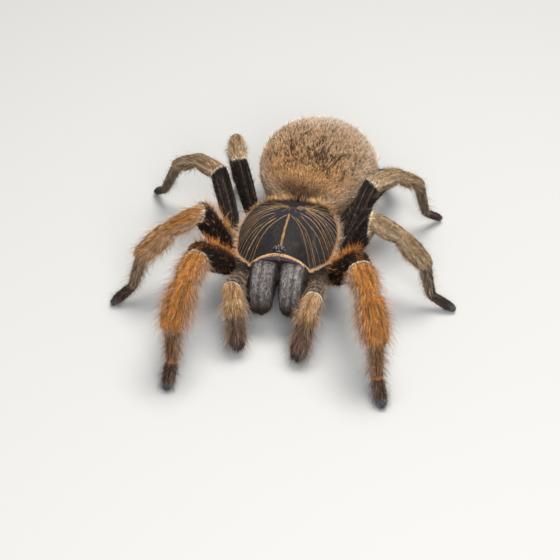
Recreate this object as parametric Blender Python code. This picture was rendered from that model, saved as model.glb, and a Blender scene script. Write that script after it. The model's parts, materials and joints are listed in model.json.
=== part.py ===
"""Life-size still model of a large female baboon spider, standing on level ground.

The shape is worked out in a body frame: millimetres, +Z up, head towards -Y, the animal's left
towards +X, with the origin on the ground under the middle of the carapace. An empty at the end
moves that frame so that the whole spider's box stands centred on the world origin.

Every solid is the outer form of a body part with its coat on. The long-limbed parts are lofts:
a ring of vertices is extruded from one joint to the next, and both ends are cut on the plane
that halves the bend of the joint, a small gap short of the neighbouring part.
"""

import math
from dataclasses import dataclass

import bmesh
import bpy
from mathutils import Matrix, Vector

MM = 0.001
GAP = 0.3                       # clearance between neighbouring parts

# ---- driving dimensions, in millimetres and degrees -------------------------------------------
GROUND = 0.0
PALP_TIP_HEIGHT = 1.4           # the palps are held a little off the ground
TIP_HEIGHT = 0.5                # height of the middle of a foot's tip, before its sole is flattened

RIM_HEIGHT = 10.9               # edge of the carapace above the ground
RIM_THICKNESS = 0.6
ARCH_RISE = 4.1                 # how far the front edge lifts over the jaws
ARCH_HALF_WIDTH = 5.3
CARAPACE_FLOOR = 10.0           # flat underside of the carapace
CARAPACE_CENTRE = Vector((0.0, 0.5))
CARAPACE_FULLNESS = 3.2         # how long the dome holds its height before it turns down to the edge
# Half of the carapace's edge, from the middle of its back to the middle of its front.
CARAPACE_EDGE = ((0.0, 10.7), (4.6, 10.1), (7.7, 6.6), (9.0, 1.5), (8.8, -3.2),
                 (8.1, -6.6), (5.3, -9.2), (2.8, -10.2), (0.0, -10.5))
# Height of the ridge line of the carapace: (place along the body, height).
CARAPACE_RIDGE = ((10.7, 11.3), (8.0, 12.8), (5.0, 13.9), (2.0, 14.7), (-1.0, 15.3), (-4.0, 15.7),
                  (-7.0, 15.7), (-10.5, 15.2))

STERNUM_CENTRE = Vector((0.0, 0.3, 7.2))
STERNUM_HALF = Vector((6.4, 7.8, 2.4))

ABDOMEN_YAW = 10.8              # the abdomen swings to the animal's left
ABDOMEN_FRONT = Vector((0.3, 10.9, 9.2))
ABDOMEN_LENGTH = 23.7
ABDOMEN_HALF_WIDTH = 11.7
ABDOMEN_HALF_HEIGHT = 9.0
ABDOMEN_HEIGHT = 10.2           # middle of the abdomen above the ground
ABDOMEN_FRONT_FULLNESS = 0.05   # how much fuller the back half is than the front half
ABDOMEN_SIDES = 26
ABDOMEN_STATIONS = 13
# The waist, from under the carapace to the front of the abdomen.
PEDICEL_LINE = (Vector((0.0, 8.6, 7.8)), Vector((0.1, 10.2, 8.0)))
PEDICEL_RADIUS = 1.2

CHELICERA_SIDE = 2.75           # middle of each jaw from the body's midline, at its top
CHELICERA_SIDES = 12
CHELICERA_SQUARENESS = 0.6      # power of the outline's cosine and sine: 1 is an ellipse, 0 a box
# The jaw's middle line: (along, height, half width, half depth, swing away from the midline).
CHELICERA_RINGS = ((-10.0, 9.8, 2.35, 2.9, 0.0), (-11.6, 9.6, 2.48, 3.0, 0.0),
                   (-13.0, 8.6, 2.46, 2.8, 0.05), (-13.75, 7.3, 2.32, 2.35, 0.1),
                   (-13.9, 6.1, 2.05, 1.9, 0.18), (-13.8, 5.0, 1.6, 1.25, 0.26))
FANG_LINE = ((-13.8, 4.7, 0.62), (-13.65, 3.7, 0.6), (-12.9, 2.7, 0.5),
             (-11.7, 2.3, 0.4), (-10.4, 2.7, 0.28))
FANG_SIDE = 3.0
FANG_CONVERGENCE = 0.08         # how much nearer the midline each fang ring is than the one before
FANG_SIDES = 8

SPINNERET_LENGTH = 3.6
SPINNERET_RADIUS = 0.75
SPINNERET_SIDES = 8
SPINNERET_SPREAD = 1.3          # place of each finger's base from the middle of the abdomen
SPINNERET_DROP = 2.4            # its height below the middle
SPINNERET_OVERLAP = 0.15        # how far its base lies ahead of the back of the abdomen
SPINNERET_SPLAY = 0.25
SPINNERET_CLIMB = 0.12
SPINNERET_PROFILE = ((0.0, 1.0), (0.35, 0.95), (0.7, 0.75), (0.92, 0.55), (1.0, 0.3))

EYE_MOUND = Vector((-0.15, -9.15, 15.4))
EYE_MOUND_HALF = Vector((1.2, 0.8, 0.6))
EYE_MOUND_SLOPE = 0.09          # slope of the cut under the mound
# Eyes of one side: (sideways, along, up, radius, subdivisions).
EYES = ((0.56, -0.32, 0.36, 0.41, 2), (1.0, -0.34, 0.12, 0.26, 1), (0.9, 0.26, 0.2, 0.24, 1),
        (0.42, 0.36, 0.38, 0.17, 1))

LIMB_SIDES = 10
SMOOTH_BELOW = 50               # degrees: sharper edges than this stay sharp
# Where a coxa starts under the carapace: shares of its hip's place, and how far below it.
COXA_START = (0.42, 0.62, 0.3)
COXA_PROFILE = ((0.0, 0.9), (0.4, 1.2), (0.75, 1.12), (1.0, 0.88))


@dataclass(frozen=True)
class Limb:
    """A leg or palp: its joints follow from headings, pitches and segment lengths.

    headings: compass direction of each segment in degrees, 0 along +X and 90 along +Y.
    pitches: climb of each segment but the last, whose pitch brings its tip to the ground.
    """

    name: str
    hip: tuple
    headings: tuple
    pitches: tuple
    build: str


@dataclass(frozen=True)
class Build:
    """Segment names, lengths and radii that the limbs of one pair share."""

    segments: tuple
    lengths: tuple
    radii: tuple
    coxa_radius: float
    tip_height: float = TIP_HEIGHT


LEG_SEGMENTS = ("femur", "patella", "tibia", "metatarsus", "tarsus")
PALP_SEGMENTS = ("femur", "patella", "tibia", "tarsus")

BUILDS = {
    "leg_1": Build(LEG_SEGMENTS, (13.9, 6.8, 7.8, 7.4, 5.5), (2.65, 2.7, 3.0, 1.65, 1.38), 1.9),
    "leg_2": Build(LEG_SEGMENTS, (11.5, 6.4, 7.2, 7.3, 5.6), (2.4, 2.05, 2.25, 1.36, 1.15), 2.0),
    "leg_3": Build(LEG_SEGMENTS, (11.8, 6.4, 7.3, 8.3, 6.0), (2.0, 1.95, 1.8, 1.25, 1.02), 1.8),
    "leg_4": Build(LEG_SEGMENTS, (12.6, 6.6, 8.6, 8.8, 6.0), (2.0, 1.95, 1.85, 1.3, 1.02), 1.8),
    "palp": Build(PALP_SEGMENTS, (7.0, 2.5, 2.5, 7.0), (1.7, 2.15, 2.35, 1.95), 1.4, PALP_TIP_HEIGHT),
}

LIMBS = (
    Limb("leg_1_right", (-9.6, -6.2, 7.6), (-112, -100, -100, -100, -100), (45, -7, -35, -81), "leg_1"),
    Limb("leg_1_left", (9.6, -6.2, 7.6), (-59, -68, -68, -68, -68), (48, -12, -43, -77), "leg_1"),
    Limb("leg_2_right", (-10.6, -2.0, 7.8), (-150, -154, -154, -154, -154), (63, -22, -41, -72), "leg_2"),
    Limb("leg_2_left", (10.6, -2.0, 7.8), (-2, -7, -7, -7, -7), (67, -25, -48, -77), "leg_2"),
    Limb("leg_3_right", (-10.6, 3.2, 7.8), (121, 142, 145, 156, 130), (47, -5, -35, -65), "leg_3"),
    Limb("leg_3_left", (10.6, 3.2, 7.8), (59, 45, 45, 45, 45), (53, -4, -39, -74), "leg_3"),
    Limb("leg_4_right", (-7.9, 8.5, 7.6), (160, 103, 103, 98, 98), (75, 0, -57, -68), "leg_4"),
    Limb("leg_4_left", (8.8, 8.0, 7.6), (46, 85, 85, 125, 125), (32, -33, -32, -32), "leg_4"),
    Limb("palp_right", (-6.8, -9.7, 7.9), (-98, -71, -71, -71), (25, -17, -58), "palp"),
    Limb("palp_left", (6.8, -9.7, 7.9), (-87, -107, -107, -107), (23, -23, -66), "palp"),
)

# Radius along a segment, as (share of its length, share of its radius).
PROFILES = {
    "femur": ((0.0, 0.74), (0.2, 0.87), (0.5, 0.97), (0.8, 1.0), (1.0, 0.92)),
    "patella": ((0.0, 0.84), (0.2, 0.98), (0.5, 1.04), (0.8, 1.0), (1.0, 0.88)),
    "tibia": ((0.0, 0.86), (0.2, 1.0), (0.5, 1.05), (0.8, 0.98), (1.0, 0.84)),
    "metatarsus": ((0.0, 0.92), (0.2, 1.0), (0.5, 0.97), (0.8, 0.95), (1.0, 0.86)),
    "tarsus": ((0.0, 0.95), (0.3, 1.0), (0.65, 0.95), (0.88, 0.75), (1.0, 0.42)),
}

# Base colour, roughness and metallic value of each material.
FINISHES = {
    "carapace_velvet": ((0.020, 0.021, 0.026), 0.55, 0.0),
    "orange_coat": ((0.50, 0.20, 0.045), 0.85, 0.0),
    "khaki_coat": ((0.30, 0.20, 0.10), 0.85, 0.0),
    "black_coat": ((0.018, 0.014, 0.012), 0.80, 0.0),
    "foot_velvet": ((0.045, 0.045, 0.055), 0.80, 0.0),
    "abdomen_velvet": ((0.33, 0.21, 0.10), 0.90, 0.0),
    "jaw_velvet": ((0.13, 0.12, 0.12), 0.80, 0.0),
    "underside_velvet": ((0.06, 0.045, 0.04), 0.85, 0.0),
    "fang_horn": ((0.012, 0.007, 0.006), 0.20, 0.0),
    "eye_glass": ((0.006, 0.006, 0.008), 0.08, 0.0),
}


def clear_scene():
    """Removes every object that the file opened with."""
    for item in list(bpy.data.objects):
        bpy.data.objects.remove(item, do_unlink=True)


def make_materials():
    """Returns a Principled material for each named finish."""
    materials = {}
    for name, (colour, roughness, metallic) in FINISHES.items():
        material = bpy.data.materials.new(name)
        material.use_nodes = True
        shader = material.node_tree.nodes["Principled BSDF"]
        shader.inputs["Base Color"].default_value = (*colour, 1.0)
        shader.inputs["Roughness"].default_value = roughness
        shader.inputs["Metallic"].default_value = metallic
        materials[name] = material
    return materials


def add_object(name, bm, origin, material, parent):
    """Turns a body-frame mesh in millimetres into an object whose origin is at the given point."""
    bmesh.ops.recalc_face_normals(bm, faces=bm.faces)
    bmesh.ops.translate(bm, verts=bm.verts, vec=-Vector(origin))
    bmesh.ops.scale(bm, verts=bm.verts, vec=Vector((MM, MM, MM)))
    mesh = bpy.data.meshes.new(name)
    bm.to_mesh(mesh)
    bm.free()
    mesh.materials.append(material)
    mesh.shade_smooth()
    mesh.set_sharp_from_angle(angle=math.radians(SMOOTH_BELOW))
    item = bpy.data.objects.new(name, mesh)
    item.location = Vector(origin) * MM
    item.parent = parent
    bpy.context.scene.collection.objects.link(item)
    return item


# ---- lofting ------------------------------------------------------------------------------------

def start_ring(bm, points):
    """Adds a closed ring of vertices and edges through the points."""
    ring = [bm.verts.new(point) for point in points]
    for first, second in zip(ring, ring[1:] + ring[:1]):
        bm.edges.new((first, second))
    return ring


def extrude_ring(bm, ring, points):
    """Extrudes an open ring and moves the new ring onto the points."""
    edges = [bm.edges.get(pair) for pair in zip(ring, ring[1:] + ring[:1])]
    made = bmesh.ops.extrude_edge_only(bm, edges=edges)["geom"]
    fresh = {item for item in made if isinstance(item, bmesh.types.BMVert)}
    after = [next(edge.other_vert(vertex) for edge in vertex.link_edges
                  if edge.other_vert(vertex) in fresh) for vertex in ring]
    for vertex, point in zip(after, points):
        vertex.co = point
    return after


def loft(rings):
    """Returns a closed mesh through rings of points, with a flat cap on each end."""
    bm = bmesh.new()
    ring = start_ring(bm, rings[0])
    bm.faces.new(ring)
    for points in rings[1:]:
        ring = extrude_ring(bm, ring, points)
    bm.faces.new(ring)
    return bm


def profile_value(profile, share):
    """Reads a piecewise straight profile at a share of its length."""
    for (start, low), (end, high) in zip(profile, profile[1:]):
        if share <= end:
            return low + (high - low) * (share - start) / (end - start)
    return profile[-1][1]


def smooth_curve(points, steps):
    """Returns points along a Catmull-Rom curve through the given ones, with its last point left out."""
    vectors = [Vector(point) for point in points]
    padded = [2 * vectors[0] - vectors[1]] + vectors + [2 * vectors[-1] - vectors[-2]]
    curve = []
    for before, start, end, after in zip(padded, padded[1:], padded[2:], padded[3:]):
        for step in range(steps):
            t = step / steps
            curve.append(0.5 * (2 * start + (end - before) * t
                                + (2 * before - 5 * start + 4 * end - after) * t ** 2
                                + (3 * start - before - 3 * end + after) * t ** 3))
    return curve


# ---- legs and palps -----------------------------------------------------------------------------

def direction(heading, pitch):
    """Unit vector from a compass heading and a climb, both in degrees."""
    flat = math.cos(math.radians(pitch))
    return Vector((flat * math.cos(math.radians(heading)), flat * math.sin(math.radians(heading)),
                   math.sin(math.radians(pitch))))


def coxa_start(hip):
    """The point under the carapace that a limb's coxa grows from."""
    return Vector((hip[0] * COXA_START[0], hip[1] * COXA_START[1], hip[2] - COXA_START[2]))


def limb_joints(limb):
    """Returns a limb's joint points from hip to tip and the direction of each segment."""
    build = BUILDS[limb.build]
    joints = [Vector(limb.hip)]
    ways = []
    for heading, pitch, length in zip(limb.headings, limb.pitches, build.lengths):
        ways.append(direction(heading, pitch))
        joints.append(joints[-1] + ways[-1] * length)
    drop = (build.tip_height - joints[-1].z) / build.lengths[-1]
    ways.append(direction(limb.headings[-1], math.degrees(math.asin(drop))))
    joints.append(joints[-1] + ways[-1] * build.lengths[-1])
    return joints, ways


def joint_normals(limb, joints, ways):
    """Returns the normal of the plane that halves the bend at each joint."""
    coxa_way = (joints[0] - coxa_start(limb.hip)).normalized()
    before = [coxa_way] + ways
    after = ways + [ways[-1]]
    return [(first + second).normalized() for first, second in zip(before, after)]


def segment_rings(start, end, start_normal, end_normal, radius, profile):
    """Rings of a tube between two joints, each end cut on its joint's plane less half the gap."""
    axis = (end - start).normalized()
    side = Vector((0, 0, 1)).cross(axis).normalized()
    top = axis.cross(side)
    length = (end - start).length
    rings = []
    for share, factor in profile:
        ring = []
        for number in range(LIMB_SIDES):
            angle = math.tau * number / LIMB_SIDES
            offset = (side * math.cos(angle) + top * math.sin(angle)) * radius
            near = offset * profile[0][1]
            far = offset * profile[-1][1]
            low = (GAP / 2 - near.dot(start_normal)) / axis.dot(start_normal)
            high = length - (GAP / 2 + far.dot(end_normal)) / axis.dot(end_normal)
            ring.append(start + axis * (low + (high - low) * share) + offset * factor)
        rings.append(ring)
    return rings


def limb_material(limb, segment):
    """Name of the finish of one segment."""
    if segment == "tarsus" and limb.build != "palp":
        return "foot_velvet"
    if segment == "femur":
        return "black_coat"
    return "orange_coat" if limb.build in ("leg_1", "palp") else "khaki_coat"


def build_limb(limb, materials, parent):
    """Adds one object for each segment of a limb, its sole flat on the ground."""
    build = BUILDS[limb.build]
    joints, ways = limb_joints(limb)
    normals = joint_normals(limb, joints, ways)
    for number, segment in enumerate(build.segments):
        rings = segment_rings(joints[number], joints[number + 1], normals[number], normals[number + 1],
                              build.radii[number], PROFILES[segment])
        bm = loft(rings)
        for vertex in bm.verts:
            vertex.co.z = max(vertex.co.z, GROUND)
        add_object(f"{limb.name}_{segment}", bm, joints[number],
                   materials[limb_material(limb, segment)], parent)


# ---- carapace, eyes and underside ---------------------------------------------------------------

def carapace_outline():
    """Plan of the carapace's whole edge, from the middle of its back round its left side."""
    half = smooth_curve(CARAPACE_EDGE, 3)
    front = Vector(CARAPACE_EDGE[-1])
    mirrored = [Vector((-point.x, point.y)) for point in reversed(half[1:])]
    return half + [front] + mirrored


def rim_height(point):
    """Height of the carapace's edge, which arches up over the jaws."""
    if point.y > -8.0 or abs(point.x) >= ARCH_HALF_WIDTH:
        return RIM_HEIGHT
    return RIM_HEIGHT + ARCH_RISE * (1 - (point.x / ARCH_HALF_WIDTH) ** 2) ** 0.8


def ridge_height(along):
    """Height of the carapace's ridge line at a place along the body."""
    profile = [(-place, height) for place, height in CARAPACE_RIDGE]
    return profile_value(profile, -along)


def build_carapace(materials, parent):
    """A domed shield with a thin edge, hollowed at the front where the jaws join it."""
    outline = carapace_outline()
    rings = []
    for share in (0.25, 0.5, 0.7, 0.85, 0.95, 1.0):
        ring = []
        for edge in outline:
            plan = CARAPACE_CENTRE + (edge - CARAPACE_CENTRE) * share
            low = rim_height(edge)
            rise = (ridge_height(plan.y) - low) * (1 - share ** CARAPACE_FULLNESS)
            ring.append((plan.x, plan.y, low + rise))
        rings.append(ring)
    for share, drop in ((0.975, RIM_THICKNESS), (0.93, None)):
        ring = []
        for edge in outline:
            plan = CARAPACE_CENTRE + (edge - CARAPACE_CENTRE) * share
            height = CARAPACE_FLOOR if drop is None else rim_height(edge) - drop
            ring.append((plan.x, plan.y, height))
        rings.append(ring)
    bm = bmesh.new()
    ring = start_ring(bm, rings[0])
    crown = bm.verts.new((CARAPACE_CENTRE.x, CARAPACE_CENTRE.y, ridge_height(CARAPACE_CENTRE.y)))
    for first, second in zip(ring, ring[1:] + ring[:1]):
        bm.faces.new((first, second, crown))
    for points in rings[1:]:
        ring = extrude_ring(bm, ring, points)
    bm.faces.new(ring)
    add_object("carapace", bm, (0, 0, CARAPACE_FLOOR), materials["carapace_velvet"], parent)


def make_cutter(bm, name):
    """Wraps a body-frame mesh in a hidden guide object for a Boolean."""
    bmesh.ops.recalc_face_normals(bm, faces=bm.faces)
    mesh = bpy.data.meshes.new(name)
    bm.to_mesh(mesh)
    bm.free()
    guide = bpy.data.objects.new(name, mesh)
    bpy.context.scene.collection.objects.link(guide)
    return guide


def joined(meshes):
    """Returns one closed mesh: the union of the given body-frame meshes."""
    guides = [make_cutter(bm, "guide") for bm in meshes]
    base = guides[0]
    for guide in guides[1:]:
        union = base.modifiers.new("union", "BOOLEAN")
        union.operation = "UNION"
        union.solver = "EXACT"
        union.object = guide
    depsgraph = bpy.context.evaluated_depsgraph_get()
    depsgraph.update()
    result = bmesh.new()
    result.from_mesh(base.evaluated_get(depsgraph).to_mesh())
    for guide in guides:
        bpy.data.objects.remove(guide, do_unlink=True)
    return result


def ellipsoid(centre, half, subdivisions):
    """An icosphere stretched to three half sizes."""
    bm = bmesh.new()
    place = Matrix.Translation(centre) @ Matrix.Diagonal((*half, 1.0))
    bmesh.ops.create_icosphere(bm, subdivisions=subdivisions, radius=1.0, matrix=place)
    return bm


def build_eye_mound(materials, parent):
    """A low mound with eight eyes half sunk in it, flat underneath."""
    parts = [ellipsoid(EYE_MOUND, EYE_MOUND_HALF, 3)]
    for side in (-1, 1):
        for across, along, up, radius, subdivisions in EYES:
            centre = EYE_MOUND + Vector((side * across, along, up))
            parts.append(ellipsoid(centre, Vector((radius,) * 3), subdivisions))
    bm = joined(parts)
    cut = bmesh.ops.bisect_plane(bm, geom=bm.verts[:] + bm.edges[:] + bm.faces[:], dist=0.0001,
                                 plane_co=EYE_MOUND, plane_no=(0, EYE_MOUND_SLOPE, -1), clear_outer=True)
    edges = [item for item in cut["geom_cut"] if isinstance(item, bmesh.types.BMEdge)]
    bmesh.ops.holes_fill(bm, edges=edges, sides=0)
    add_object("eye_mound", bm, EYE_MOUND, materials["eye_glass"], parent)


def coxa(limb):
    """A short thick tube from under the carapace to the limb's first joint."""
    build = BUILDS[limb.build]
    joints, ways = limb_joints(limb)
    start = coxa_start(limb.hip)
    way = (joints[0] - start).normalized()
    normal = joint_normals(limb, joints, ways)[0]
    return loft(segment_rings(start, joints[0], way, normal, build.coxa_radius, COXA_PROFILE))


def build_underside(materials, parent):
    """The breast plate with the ten limb bases that grow from it, as one piece."""
    parts = [ellipsoid(STERNUM_CENTRE, STERNUM_HALF, 3)]
    parts += [coxa(limb) for limb in LIMBS]
    add_object("sternum_and_coxae", joined(parts), STERNUM_CENTRE, materials["underside_velvet"], parent)


# ---- abdomen, spinnerets and jaws ---------------------------------------------------------------

def upright_ring(centre, axis, half_width, half_height):
    """An oval ring of the abdomen, square to a level axis."""
    side = Vector((0, 0, 1)).cross(axis).normalized()
    turns = [math.tau * number / ABDOMEN_SIDES for number in range(ABDOMEN_SIDES)]
    return [centre + side * half_width * math.cos(turn) + Vector((0, 0, half_height * math.sin(turn)))
            for turn in turns]


def abdomen_rings():
    """Rings from the narrow waist to the back of the abdomen."""
    axis = direction(90 - ABDOMEN_YAW, 0)
    ahead = Vector((0, 1, 0))
    rings = [upright_ring(centre, ahead, PEDICEL_RADIUS, PEDICEL_RADIUS) for centre in PEDICEL_LINE]
    for station in range(1, ABDOMEN_STATIONS):
        turn = math.pi * station / ABDOMEN_STATIONS
        along = ABDOMEN_LENGTH * (0.5 - 0.5 * math.cos(turn))
        swell = math.sin(turn) * (1 - ABDOMEN_FRONT_FULLNESS * math.cos(turn))
        lift = (ABDOMEN_HEIGHT - ABDOMEN_FRONT.z) * min(1.0, 2.5 * along / ABDOMEN_LENGTH)
        centre = ABDOMEN_FRONT + axis * along + Vector((0, 0, lift))
        rings.append(upright_ring(centre, axis, ABDOMEN_HALF_WIDTH * swell, ABDOMEN_HALF_HEIGHT * swell))
    return rings


def build_abdomen(materials, parent):
    """The egg-shaped abdomen with its waist."""
    add_object("abdomen", loft(abdomen_rings()), ABDOMEN_FRONT, materials["abdomen_velvet"], parent)


def tapered_tube(line, sides):
    """A closed tube through (point, radius) pairs, each ring square to the line there."""
    rings = []
    last = len(line) - 1
    for number, (centre, radius) in enumerate(line):
        before = line[max(number - 1, 0)][0]
        after = line[min(number + 1, last)][0]
        axis = (after - before).normalized()
        side = Vector((1, 0, 0)).cross(axis).normalized()
        top = axis.cross(side)
        rings.append([centre + (side * math.cos(math.tau * step / sides)
                                + top * math.sin(math.tau * step / sides)) * radius
                      for step in range(sides)])
    return loft(rings)


def build_spinnerets(materials, parent):
    """Two jointed fingers at the back of the abdomen."""
    axis = direction(90 - ABDOMEN_YAW, 0)
    side = Vector((axis.y, -axis.x, 0))
    for name, sign in (("right", -1), ("left", 1)):
        base = ABDOMEN_FRONT + axis * (ABDOMEN_LENGTH - SPINNERET_OVERLAP) + side * sign * SPINNERET_SPREAD
        base.z = ABDOMEN_HEIGHT - SPINNERET_DROP
        way = (axis + side * sign * SPINNERET_SPLAY + Vector((0, 0, SPINNERET_CLIMB))).normalized()
        line = [(base + way * SPINNERET_LENGTH * share, SPINNERET_RADIUS * size)
                for share, size in SPINNERET_PROFILE]
        tube = tapered_tube(line, SPINNERET_SIDES)
        add_object(f"spinneret_{name}", tube, base, materials["abdomen_velvet"], parent)


def squared(part):
    """A cosine or sine moved towards a box's, which squares off the outline's corners."""
    return math.copysign(abs(part) ** CHELICERA_SQUARENESS, part)


def chelicera_rings(sign):
    """Rings down one jaw, each square to its middle line."""
    lines = [Vector((sign * (CHELICERA_SIDE + swing), along, height))
             for along, height, _, _, swing in CHELICERA_RINGS]
    rings = []
    for number, (_, _, half_width, half_depth, _) in enumerate(CHELICERA_RINGS):
        if number == 0:
            axis = Vector((0, -1, 0))
        elif number == len(lines) - 1:
            axis = Vector((0, 0, -1))
        else:
            axis = (lines[number + 1] - lines[number - 1]).normalized()
        front = Vector((1, 0, 0)).cross(axis)
        turns = [math.tau * step / CHELICERA_SIDES for step in range(CHELICERA_SIDES)]
        rings.append([lines[number] + Vector((half_width * squared(math.cos(turn)), 0, 0))
                      + front * half_depth * squared(math.sin(turn)) for turn in turns])
    return rings


def build_jaws(materials, parent):
    """Two chelicerae, each with a fang folded back under it."""
    for name, sign in (("right", -1), ("left", 1)):
        origin = Vector((sign * CHELICERA_SIDE, *CHELICERA_RINGS[0][:2]))
        add_object(f"chelicera_{name}", loft(chelicera_rings(sign)), origin, materials["jaw_velvet"], parent)
        line = [(Vector((sign * (FANG_SIDE - FANG_CONVERGENCE * number), along, height)), radius)
                for number, (along, height, radius) in enumerate(FANG_LINE)]
        fang = tapered_tube(line, FANG_SIDES)
        add_object(f"fang_{name}", fang, line[0][0], materials["fang_horn"], parent)


# ---- assembly -----------------------------------------------------------------------------------

def centre_on_origin(frame):
    """Moves the body frame so that the spider's box stands centred on the world origin."""
    bpy.context.view_layer.update()
    corners = [item.matrix_world @ vertex.co for item in frame.children for vertex in item.data.vertices]
    for axis in (0, 1):
        values = [corner[axis] for corner in corners]
        frame.location[axis] = -(min(values) + max(values)) / 2
    frame.location.z = -min(corner.z for corner in corners)


def main():
    """Builds the spider."""
    clear_scene()
    materials = make_materials()
    frame = bpy.data.objects.new("body_frame", None)
    bpy.context.scene.collection.objects.link(frame)
    build_carapace(materials, frame)
    build_eye_mound(materials, frame)
    build_underside(materials, frame)
    build_abdomen(materials, frame)
    build_spinnerets(materials, frame)
    build_jaws(materials, frame)
    for limb in LIMBS:
        build_limb(limb, materials, frame)
    centre_on_origin(frame)


main()
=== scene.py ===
"""A still, life-size baboon spider tarantula: its skin, shell, eyes, fangs and coat.

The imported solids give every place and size. One seamless skin stands for all nodes of flesh and
lies inside them by the depth of the coat, and solid tufts of hair cover it. Lengths are in
millimetres inside the script and become metres when a mesh is made.
"""

from __future__ import annotations

import json
import logging
import math
from dataclasses import dataclass, field, replace
from enum import Enum

import bpy
import numpy as np
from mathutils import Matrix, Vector

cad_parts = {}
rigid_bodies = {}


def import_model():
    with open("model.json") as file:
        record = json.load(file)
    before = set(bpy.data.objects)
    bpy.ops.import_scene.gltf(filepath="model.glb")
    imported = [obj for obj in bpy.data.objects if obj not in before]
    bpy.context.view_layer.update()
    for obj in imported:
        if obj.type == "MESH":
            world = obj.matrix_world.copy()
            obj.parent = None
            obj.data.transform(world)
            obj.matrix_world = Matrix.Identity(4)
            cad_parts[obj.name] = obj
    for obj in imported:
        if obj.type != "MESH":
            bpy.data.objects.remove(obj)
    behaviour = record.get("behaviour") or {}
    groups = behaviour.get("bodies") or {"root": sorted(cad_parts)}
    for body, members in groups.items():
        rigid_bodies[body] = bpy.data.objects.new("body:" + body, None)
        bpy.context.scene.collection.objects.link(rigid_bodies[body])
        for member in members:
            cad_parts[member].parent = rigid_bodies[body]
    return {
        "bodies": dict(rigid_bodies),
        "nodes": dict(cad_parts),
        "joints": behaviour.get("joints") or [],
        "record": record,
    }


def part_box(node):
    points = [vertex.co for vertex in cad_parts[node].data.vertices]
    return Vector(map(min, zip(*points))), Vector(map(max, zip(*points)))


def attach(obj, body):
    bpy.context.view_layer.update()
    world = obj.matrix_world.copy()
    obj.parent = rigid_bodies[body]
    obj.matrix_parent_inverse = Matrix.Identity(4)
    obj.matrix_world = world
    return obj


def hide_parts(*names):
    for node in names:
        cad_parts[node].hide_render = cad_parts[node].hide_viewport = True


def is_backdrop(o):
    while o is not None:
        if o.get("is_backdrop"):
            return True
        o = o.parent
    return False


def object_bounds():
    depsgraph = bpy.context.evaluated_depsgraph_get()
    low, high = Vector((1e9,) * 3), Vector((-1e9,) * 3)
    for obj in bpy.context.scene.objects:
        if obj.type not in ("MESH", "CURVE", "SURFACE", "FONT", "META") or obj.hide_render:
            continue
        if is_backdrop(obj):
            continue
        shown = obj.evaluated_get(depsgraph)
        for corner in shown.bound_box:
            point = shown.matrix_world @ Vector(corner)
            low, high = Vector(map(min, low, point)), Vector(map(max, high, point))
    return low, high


LOG = logging.getLogger("tarantula")

Array = np.ndarray
Piece = bpy.types.Object
Chance = np.random.Generator
Colour = tuple[float, float, float]

MM = 0.001
BODY = "root"
COLOUR_NAME = "coat"
BAKE_MAP = "OFBake"
PATCH = 0.003  # width of one tuft's patch on the bake map
FLOOR_CLEARANCE = 0.03  # how far hairs stay above the ground
ROOT_DEPTH = 0.06  # how far a tuft's root lies under the skin
MERGE_DISTANCE = 1e-6  # metres
SIDES = (("right", -1), ("left", 1))
RADIAN = 57.3  # degrees


# ---- small geometry helpers ----

def unit(vectors: Array) -> Array:
    """Returns vectors, along the last axis, at length one."""
    size = np.linalg.norm(vectors, axis=-1, keepdims=True)
    return vectors / np.maximum(size, 1e-9)


def dot(first: Array, second: Array) -> Array:
    """Returns the dot products of two arrays of vectors."""
    return np.sum(first * second, axis=-1)


def ramp(low: float, high: float, value: Array) -> Array:
    """Rises smoothly from 0 at low to 1 at high, or falls where high is the smaller."""
    share = np.clip((value - low) / (high - low), 0.0, 1.0)
    return share * share * (3.0 - 2.0 * share)


def hump(value: Array, middle: float, width: float) -> Array:
    """Returns a bell curve of height one round middle."""
    return np.exp(-((value - middle) / width) ** 2)


def blend(first: Array, second: Colour | Array, share: Array) -> Array:
    """Mixes into colours, one a row, a share of one second colour or of one for each row."""
    part = np.clip(np.asarray(share), 0.0, 1.0)[..., None]
    return first * (1.0 - part) + np.asarray(second) * part


def layered(base: Colour, count: int, *coats: tuple[Colour | Array, Array]) -> Array:
    """Lays colours over a base.

    Args:
        base: the colour underneath.
        count: how many rows to fill.
        coats: colours, each with how much of it shows on each row.

    Returns:
        One colour a row.
    """
    colour = np.tile(np.array(base, float), (count, 1))
    for tint, share in coats:
        colour = blend(colour, tint, share)
    return colour


def between(span: tuple[float, float], rise: float, share: Array) -> Array:
    """Rises from 0 to 1 past the start of a span and falls again before its end."""
    low, high = span
    return ramp(low, low + rise, share) * ramp(high, high - 0.1, share)


def lattice(cells: Array, seed: int) -> Array:
    """Returns a repeatable number from 0 to 1 for each whole-numbered cell."""
    mixed = cells[..., 0] * 73856093 ^ cells[..., 1] * 19349663 ^ cells[..., 2] * 83492791
    mixed = (mixed ^ seed * 2654435761) & 0x7FFFFFFF
    mixed = ((mixed ^ (mixed >> 13)) * 1274126177) & 0x7FFFFFFF
    mixed = ((mixed ^ (mixed >> 16)) * 2246822519) & 0x7FFFFFFF
    return (mixed & 0xFFFFFF) / float(0xFFFFFF)


def value_noise(points: Array, size: float | Array, seed: int) -> Array:
    """Smooth noise in space.

    Args:
        points: places, one a row.
        size: width of one blotch, for all axes or one number for each.
        seed: picks the pattern.

    Returns:
        One number from 0 to 1 for each place.
    """
    scaled = points / np.asarray(size)
    low = np.floor(scaled).astype(np.int64)
    part = scaled - low
    part = part * part * (3.0 - 2.0 * part)
    total = np.zeros(len(points))
    for corner in range(8):
        step = np.array([corner & 1, corner >> 1 & 1, corner >> 2 & 1])
        weight = np.prod(np.where(step == 1, part, 1.0 - part), axis=1)
        total += weight * lattice(low + step, seed)
    return total


def upwards(rows: Array) -> Array:
    """Returns one upward direction for each row."""
    return np.tile((0.0, 0.0, 1.0), (len(rows), 1))


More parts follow.
